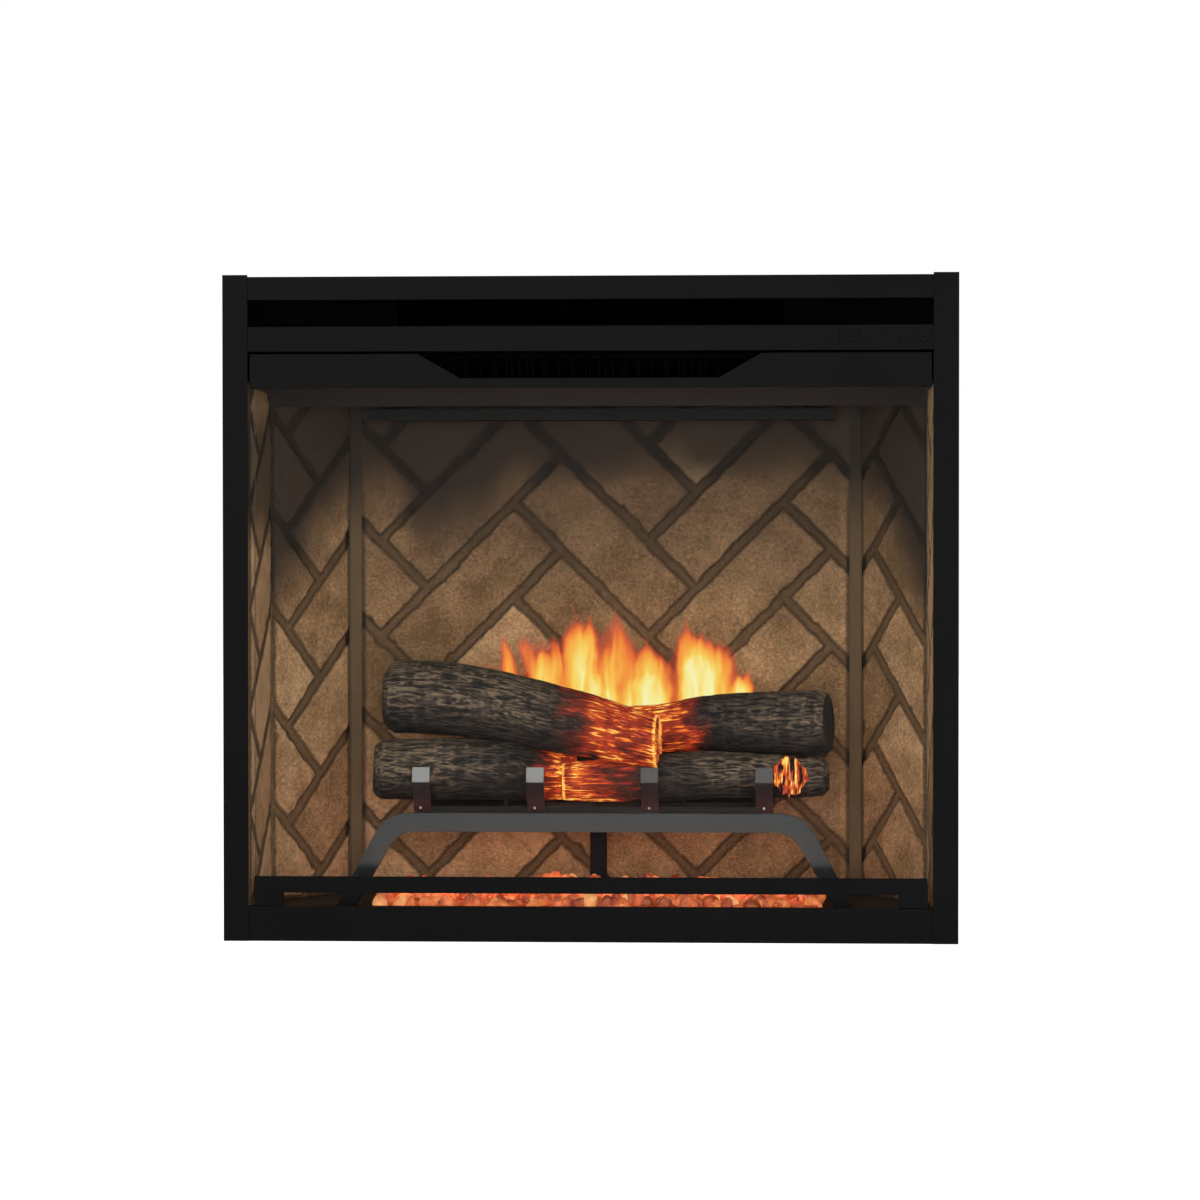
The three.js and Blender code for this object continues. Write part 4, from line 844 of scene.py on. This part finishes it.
def makeStump():
    count = stump["round"]
    turn = np.linspace(0, 2 * math.pi, count, endpoint=False)
    cosine, sine = np.cos(turn), np.sin(turn)
    jag = layered(joined(cosine * 4, sine * 4, np.full(count, 3.0)), 3, 51)
    knob = stump["splinter"] * np.exp(-((turn - math.pi * 0.55) / 0.2) ** 2)  # stands up at the top
    outline = 1 + stump["jag"] * jag + knob
    narrow = 1 - stump["narrow"] * np.clip(-sine, 0, 1) ** 1.5
    rows, glow, ridge, grain = [], [], [], []
    levels = [(k / (stump["rings"] - 1), 1.0) for k in range(stump["rings"])] + [
        (1.0, 1 - k / stump["cap"]) for k in range(1, stump["cap"])]
    for share, spread in levels:
        x = cosine * outline * narrow * stump["halfWide"] * spread
        z = sine * outline * stump["halfHigh"] * spread
        strands = layered(joined(x / 3.2, z / 13, np.full(count, share * 2)), 3, 53)
        d = stump["root"] + (stump["tip"] - stump["root"]) * share
        sunk = (2.4 * strands + 3.0 * (1 - spread)) * (share == 1.0)
        wide = 1 + 0.06 * strands * (spread == 1.0)
        rows.append(joined(stump["x"] + x * wide, d + sunk, stump["z"] + z * wide))
        glow.append(np.clip((0.35 + 0.85 * share) * (0.6 - 1.1 * strands), 0, 1.25))
        ridge.append(np.clip(0.5 - 0.5 * strands, 0, 1))
        grain.append(joined(z, x, d + 0 * x) * mm)
    points = np.concatenate(rows + [rows[-1].mean(0)[None, :], rows[0].mean(0)[None, :]])
    ring, faces, total = np.arange(count), [], len(levels) * count
    for row in range(len(levels) - 1):
        quads = belt(row * count + ring, (row + 1) * count + ring)
        faces += np.roll(quads, -1, axis=1).tolist()
    last = (len(levels) - 1) * count
    faces += [[last + i, last + (i + 1) % count, total] for i in range(count)]
    faces += [[(i + 1) % count, i, total + 1] for i in range(count)]
    newPiece("brokenBranch", (points + [0, frontPlane, 0]) * mm, faces, "log_bark", {
        "glow": np.concatenate([*glow, [0.9, 0.3]]), "ridge": np.concatenate([*ridge, [0.5, 0.5]]),
        "cut": np.zeros(len(points)), "char": np.full(len(points), 0.2),
        "grain": np.concatenate([*grain, np.zeros((2, 3))])})


makeStump()
print("logs ready")


# The flames shine on the clear sheet: tongues with a base, a tip, a half width and a strength.
flames = {
    "front": 208.0, "thick": 3.0, "half": 330.0, "low": 39.3, "top": 706.0,
    "cell": 1.5, "x": (-186, 226), "z": (236, 452), "fade": (240, 280), "warmth": 0.665, "veil": (0.02, 0.52),
    "tongues": [
        ((-124, 340), (-135, 399), 6, 0.62), ((-150, 345), (-160, 368), 12, 0.2),
        ((-88, 336), (-108, 404), 7, 0.5), ((-79, 333), (-81, 380), 13, 0.88),
        ((-60, 333), (-66, 398), 8, 0.42), ((-80, 329), (-84, 398), 28, 0.3),
        ((-24, 297), (-35, 429), 19, 0.95), ((-16, 297), (-15, 418), 12, 0.72),
        ((-24, 297), (-27, 430), 26, 0.34), ((17, 289), (20, 429), 24, 0.52),
        ((10, 289), (17, 388), 12, 0.68), ((36, 289), (35, 408), 12, 0.5),
        ((67, 280), (61, 393), 20, 0.95), ((84, 280), (85, 376), 12, 0.82),
        ((74, 280), (64, 352), 19, 1.15), ((46, 280), (48, 338), 24, 0.72),
        ((130, 289), (120, 414), 18, 0.95), ((146, 289), (144, 402), 18, 1.0),
        ((162, 293), (166, 392), 17, 0.7), ((146, 289), (154, 400), 36, 0.34),
        ((136, 289), (130, 376), 17, 1.2), ((189, 313), (195, 347), 7, 0.95),
        ((201, 313), (203, 358), 5, 0.7), ((16, 280), (16, 330), 28, 0.62),
    ],
}


def flameStrength(x, z):  # 0 beside the flames, above 1 in their hottest part
    def noise(wide, tall, octaves, seed):
        return layered(joined(x / wide, z / tall, np.zeros(x.shape)), octaves, seed)

    x, z = x + 3.4 * noise(16, 30, 3, 61), z + 7.0 * noise(9, 60, 2, 62)
    total = strongest = np.zeros(x.shape)
    for (baseX, baseZ), (tipX, tipZ), width, strength in flames["tongues"]:
        rise = (z - baseZ) / (tipZ - baseZ)
        share = np.clip(rise, 0, 1)
        centre = baseX + (tipX - baseX) * np.clip(rise, -0.5, 1.2)
        reach = width * (1 - share ** 3) ** 0.6 + 4.0
        body = 1 - step(0.2, 1.6, np.abs(x - centre) / reach)
        tongue = strength * body * (1 - 0.5 * share ** 2) * (1 - step(0.78, 1.24, rise))
        strongest = np.maximum(strongest, tongue)
        total = total + tongue
    streak = noise(4.2, 46, 1, 63) + noise(10, 36, 1, 64)
    blended = 0.66 * strongest + 0.34 * np.minimum(total, 1.7)
    return blended * (1 + 0.16 * streak) * step(*flames["fade"], z)


def makeFlames():
    f = flames
    xs, zs = (np.concatenate([[start], np.arange(*f[key], f["cell"]), [end]])
              for key, start, end in (("x", -f["half"], f["half"]), ("z", f["low"], f["top"])))
    gridX, gridZ = (grid.ravel() for grid in np.meshgrid(xs, zs))
    faces, ring = gridShell(len(zs), len(xs))
    front = joined(gridX, np.full(gridX.shape, frontPlane + f["front"]), gridZ)
    back = front[ring] + [0, f["thick"], 0]
    strength = np.concatenate([flameStrength(gridX, gridZ), np.zeros(len(ring))])
    values = {"warmth": np.clip(strength * f["warmth"], 0, 1), "veil": step(*f["veil"], strength) * 0.98}
    points = np.concatenate([front, back]) * mm
    piece = newPiece("flameSheet", points, faces, "clear_acrylic", values, smooth=False)
    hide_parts("flame_panel")


makeFlames()
print("flames ready")


# Glass embers strewn over the moulded bed by a node group.
embers = {
    "left": -284, "right": 301, "front": 46, "rear": 178, "frontTop": 44, "crest": 60, "low": 39.3,
    "wall": 6, "step": 5, "density": 5200.0, "small": 0.006, "large": 0.0135,
    "seed": 5, "sizeSeed": 3, "glowSeed": 9, "stretch": (1.35, 0.95, 0.8), "crumple": 0.009,
    "lumps": 2.2, "sag": 1.2, "heapFrom": 60, "heapTo": 20, "facing": 0.4,
    "heaps": [(-154, 12, 9), (-60, 20, 9), (-8, 14, 8), (-230, 20, 3), (70, 60, 3), (200, 60, 3)],
}


class Growth:  # a geometry node tree, with its inputs by name
    def __init__(self, name, **inputs):
        self.tree = bpy.data.node_groups.new(name, "GeometryNodeTree")
        self.tree.interface.new_socket("Geometry", in_out="INPUT", socket_type="NodeSocketGeometry")
        self.tree.interface.new_socket("Geometry", in_out="OUTPUT", socket_type="NodeSocketGeometry")
        self.values = inputs
        for key, value in inputs.items():
            kind = "NodeSocketInt" if isinstance(value, int) else "NodeSocketFloat"
            self.tree.interface.new_socket(key, in_out="INPUT", socket_type=kind)
        self.start = self.tree.nodes.new("NodeGroupInput")
        self.end = self.tree.nodes.new("NodeGroupOutput")
        self.geometry = self.start.outputs["Geometry"]

    def given(self, key):
        return self.start.outputs[key]

    def node(self, kind, settings=None, sockets=None):
        made = self.tree.nodes.new(kind)
        for key, value in (settings or {}).items():
            setattr(made, key, value)
        for key, value in (sockets or {}).items():
            if isinstance(value, bpy.types.NodeSocket):
                self.tree.links.new(value, made.inputs[key])
            else:
                made.inputs[key].default_value = value
        return made.outputs

    def maths(self, operation, first, second):
        return self.node("ShaderNodeMath", {"operation": operation}, {0: first, 1: second})["Value"]

    def finish(self, geometry, material):
        real = self.node("GeometryNodeRealizeInstances", None, {"Geometry": geometry})["Geometry"]
        painted = self.node("GeometryNodeSetMaterial", None, {"Geometry": real, "Material": material})
        self.tree.links.new(painted["Geometry"], self.end.inputs[0])

    def grow(self, piece):  # runs the tree on a piece and keeps the result as a plain mesh
        modifier = piece.modifiers.new("growth", "NODES")
        modifier.node_group = self.tree
        for item in self.tree.interface.items_tree:
            if item.in_out == "INPUT" and item.name in self.values:
                modifier[item.identifier] = self.values[item.name]
        evaluated = piece.evaluated_get(bpy.context.evaluated_depsgraph_get())
        grown = bpy.data.meshes.new_from_object(evaluated)
        piece.modifiers.clear()
        piece.data = grown


def bedTop(d):
    share = (d - embers["front"]) / (embers["rear"] - embers["front"])
    return embers["frontTop"] + share * (embers["crest"] - embers["frontTop"])


def moundMesh():  # the moulded bed itself, open underneath
    e = embers
    innerFront, innerRear = e["front"] + 2 * e["wall"], e["rear"] - e["wall"]
    over = np.linspace(e["front"], e["rear"], 23)
    section = [(innerFront, e["low"]), (innerFront, bedTop(innerFront) - e["wall"]),
               (innerRear, bedTop(innerRear) - e["wall"]), (innerRear, e["low"]), (e["rear"], e["low"])]
    section += [(d, bedTop(d)) for d in over[::-1]] + [(e["front"], e["low"])]
    xs = np.arange(e["left"], e["right"] + 0.1, e["step"])
    count, size = len(xs), len(section)
    points = np.array([(x, frontPlane + d, z) for x in xs for d, z in section])
    ring = np.arange(size)
    faces = [ring.tolist()[::-1], (ring + (count - 1) * size).tolist()]
    for i in range(count - 1):
        faces += belt(i * size + ring, (i + 1) * size + ring).tolist()
    top = points[:, 2] > e["low"] + 3
    lumpy = layered(points / 14, 3, 71)
    heaps = sum(rise * np.exp(-((points[:, 0] - x) / wide) ** 2) for x, wide, rise in e["heaps"])
    rearward = step(e["front"] + e["heapFrom"], e["rear"] - e["heapTo"], points[:, 1] - frontPlane)
    points[:, 2] += np.where(top, e["lumps"] * lumpy - e["sag"] + heaps * rearward, 0)
    return newPiece("emberBed", points * mm, faces, "ember_resin", {"warmth": 0.35 + 0.25 * lumpy})


def firstEnabled(outputs):  # a random value has one output per data type
    return next(output for output in outputs if output.enabled)


def makeEmbers():
    e = embers
    piece = moundMesh()
    growth = Growth("strewnEmbers", **{key: e[key] for key in ("density", "small", "large", "seed")})
    node, given, maths = growth.node, growth.given, growth.maths
    normal = node("GeometryNodeInputNormal")["Normal"]
    place = node("GeometryNodeInputPosition")["Position"]
    upward = node("ShaderNodeSeparateXYZ", None, {"Vector": normal})["Z"]
    height = node("ShaderNodeSeparateXYZ", None, {"Vector": place})["Z"]
    turnedUp = maths("GREATER_THAN", upward, e["facing"])
    onTop = maths("MULTIPLY", turnedUp, maths("GREATER_THAN", height, (e["low"] + 2.5) * mm))
    strewn = node("GeometryNodeDistributePointsOnFaces", {"distribute_method": "RANDOM"}, {
        "Mesh": growth.geometry, "Selection": onTop, "Density": given("density"),
        "Seed": given("seed")})
    stone = node("GeometryNodeMeshIcoSphere", None, {"Radius": 1.0, "Subdivisions": 2})["Mesh"]
    turn = node("FunctionNodeRandomValue", {"data_type": "FLOAT_VECTOR"}, {
        "Max": (6.28, 6.28, 6.28), "Seed": given("seed")})["Value"]
    size = node("FunctionNodeRandomValue", None, {
        "Min": given("small"), "Max": given("large"), "Seed": e["sizeSeed"]})
    glow = node("FunctionNodeRandomValue", None, {"Min": 0.0, "Max": 1.0, "Seed": e["glowSeed"]})
    longer = node("GeometryNodeTransform", None, {"Geometry": stone, "Scale": e["stretch"]})
    laid = node("GeometryNodeInstanceOnPoints", None, {
        "Points": strewn["Points"], "Instance": longer["Geometry"], "Rotation": turn,
        "Scale": firstEnabled(size)})["Instances"]
    lit = node("GeometryNodeStoreNamedAttribute", {"data_type": "FLOAT", "domain": "INSTANCE"}, {
        "Geometry": laid, "Name": "warmth", "Value": firstEnabled(glow)})["Geometry"]
    real = node("GeometryNodeRealizeInstances", None, {"Geometry": lit})["Geometry"]
    spot = node("ShaderNodeTexNoise", None, {"Scale": 150.0, "Detail": 1.0})
    centred = node("ShaderNodeVectorMath", {"operation": "SUBTRACT"}, {
        0: spot["Color"], 1: (0.5, 0.5, 0.5)})["Vector"]
    pushed = node("ShaderNodeVectorMath", {"operation": "SCALE"}, {
        0: centred, "Scale": e["crumple"]})["Vector"]
    rough = node("GeometryNodeSetPosition", None, {"Geometry": real, "Offset": pushed})
    both = node("GeometryNodeJoinGeometry")["Geometry"]
    for part in (rough["Geometry"], growth.geometry):
        growth.tree.links.new(part, both.node.inputs[0])
    growth.finish(both, paints["ember_resin"].material)
    growth.grow(piece)
    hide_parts("ember_bed")
    print("embers:", len(piece.data.polygons), "faces")


makeEmbers()


def studs(name, places, facings, size, slot):  # one dome on each place, set by a node group
    mesh = bpy.data.meshes.new(name)
    mesh.from_pydata([tuple(place) for place in places], [], [])
    mesh.attributes.new("facing", "FLOAT_VECTOR", "POINT").data.foreach_set("vector", np.ravel(facings))
    piece = placed(name, mesh)
    growth = Growth(name + "Tree", wide=size[0], tall=size[1])
    node, given = growth.node, growth.given
    head = node("GeometryNodeMeshUVSphere", None, {"Segments": 20, "Rings": 10, "Radius": 0.5})
    spread = node("ShaderNodeCombineXYZ", None, {
        "X": given("wide"), "Y": given("wide"), "Z": given("tall")})["Vector"]
    facing = node("GeometryNodeInputNamedAttribute", {"data_type": "FLOAT_VECTOR"}, {
        "Name": "facing"})["Attribute"]
    turned = node("FunctionNodeAlignRotationToVector", {"axis": "Z"}, {"Vector": facing})
    laid = node("GeometryNodeInstanceOnPoints", None, {
        "Points": growth.geometry, "Instance": head["Mesh"], "Rotation": turned["Rotation"],
        "Scale": spread})["Instances"]
    growth.finish(laid, paints[slot].material)
    growth.grow(piece)
    piece.data.polygons.foreach_set("use_smooth", [True] * len(piece.data.polygons))
    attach(piece, "root")


rivet = {"wide": 0.009, "tall": 0.0036, "inset": 0.009, "spacing": 0.11, "lift": 0.0009}
weld = {"wide": 0.0036, "tall": 0.0016, "up": 0.008}
sheets = {  # the casing's outer sheets and the way each faces
    "rear_panel": (0, 1, 0), "left_side_panel": (-1, 0, 0), "right_side_panel": (1, 0, 0),
    "top_panel": (0, 0, 1),
}


def rowBetween(first, last, spacing):
    count = max(2, round(math.dist(first, last) / spacing) + 1)
    return [Vector(first).lerp(Vector(last), i / (count - 1)) for i in range(count)]


def edgeRivets(name, facing):  # places along the four edges of a sheet
    low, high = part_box(name)
    inset, out = rivet["inset"], Vector(facing)
    axis = [abs(v) for v in facing].index(1)
    start = Vector((low.x + inset, low.y + 3 * inset, low.z + inset))
    start[axis] = (high if facing[axis] > 0 else low)[axis]
    span = (high.x - low.x - 2 * inset, high.y - low.y - 4 * inset, high.z - low.z - 2 * inset)
    across, up = (Vector([span[i] * (i == side) for i in range(3)]) for side in range(3) if side != axis)
    ends = [start, start + across, start + across + up, start + up]
    rows = [rowBetween(ends[i], ends[(i + 1) % 4], rivet["spacing"])[:-1] for i in range(4)]
    return [place + out * rivet["lift"] for row in rows for place in row]


def makeRivets():
    places, facings = [], []
    for name, facing in sheets.items():
        found = edgeRivets(name, facing)
        places += found
        facings += [facing] * len(found)
    studs("casingRivets", places, facings, (rivet["wide"], rivet["tall"]), "motor_steel")
    shafts = [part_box(f"grate_prong_{i}") for i in (1, 2, 3, 4)]
    welds = [((low.x + high.x) / 2, low.y, low.z + weld["up"]) for low, high in shafts]
    studs("prongRivets", welds, [(0, -1, 0)] * 4, (weld["wide"], weld["tall"]), "motor_steel")


makeRivets()
print("rivets ready")
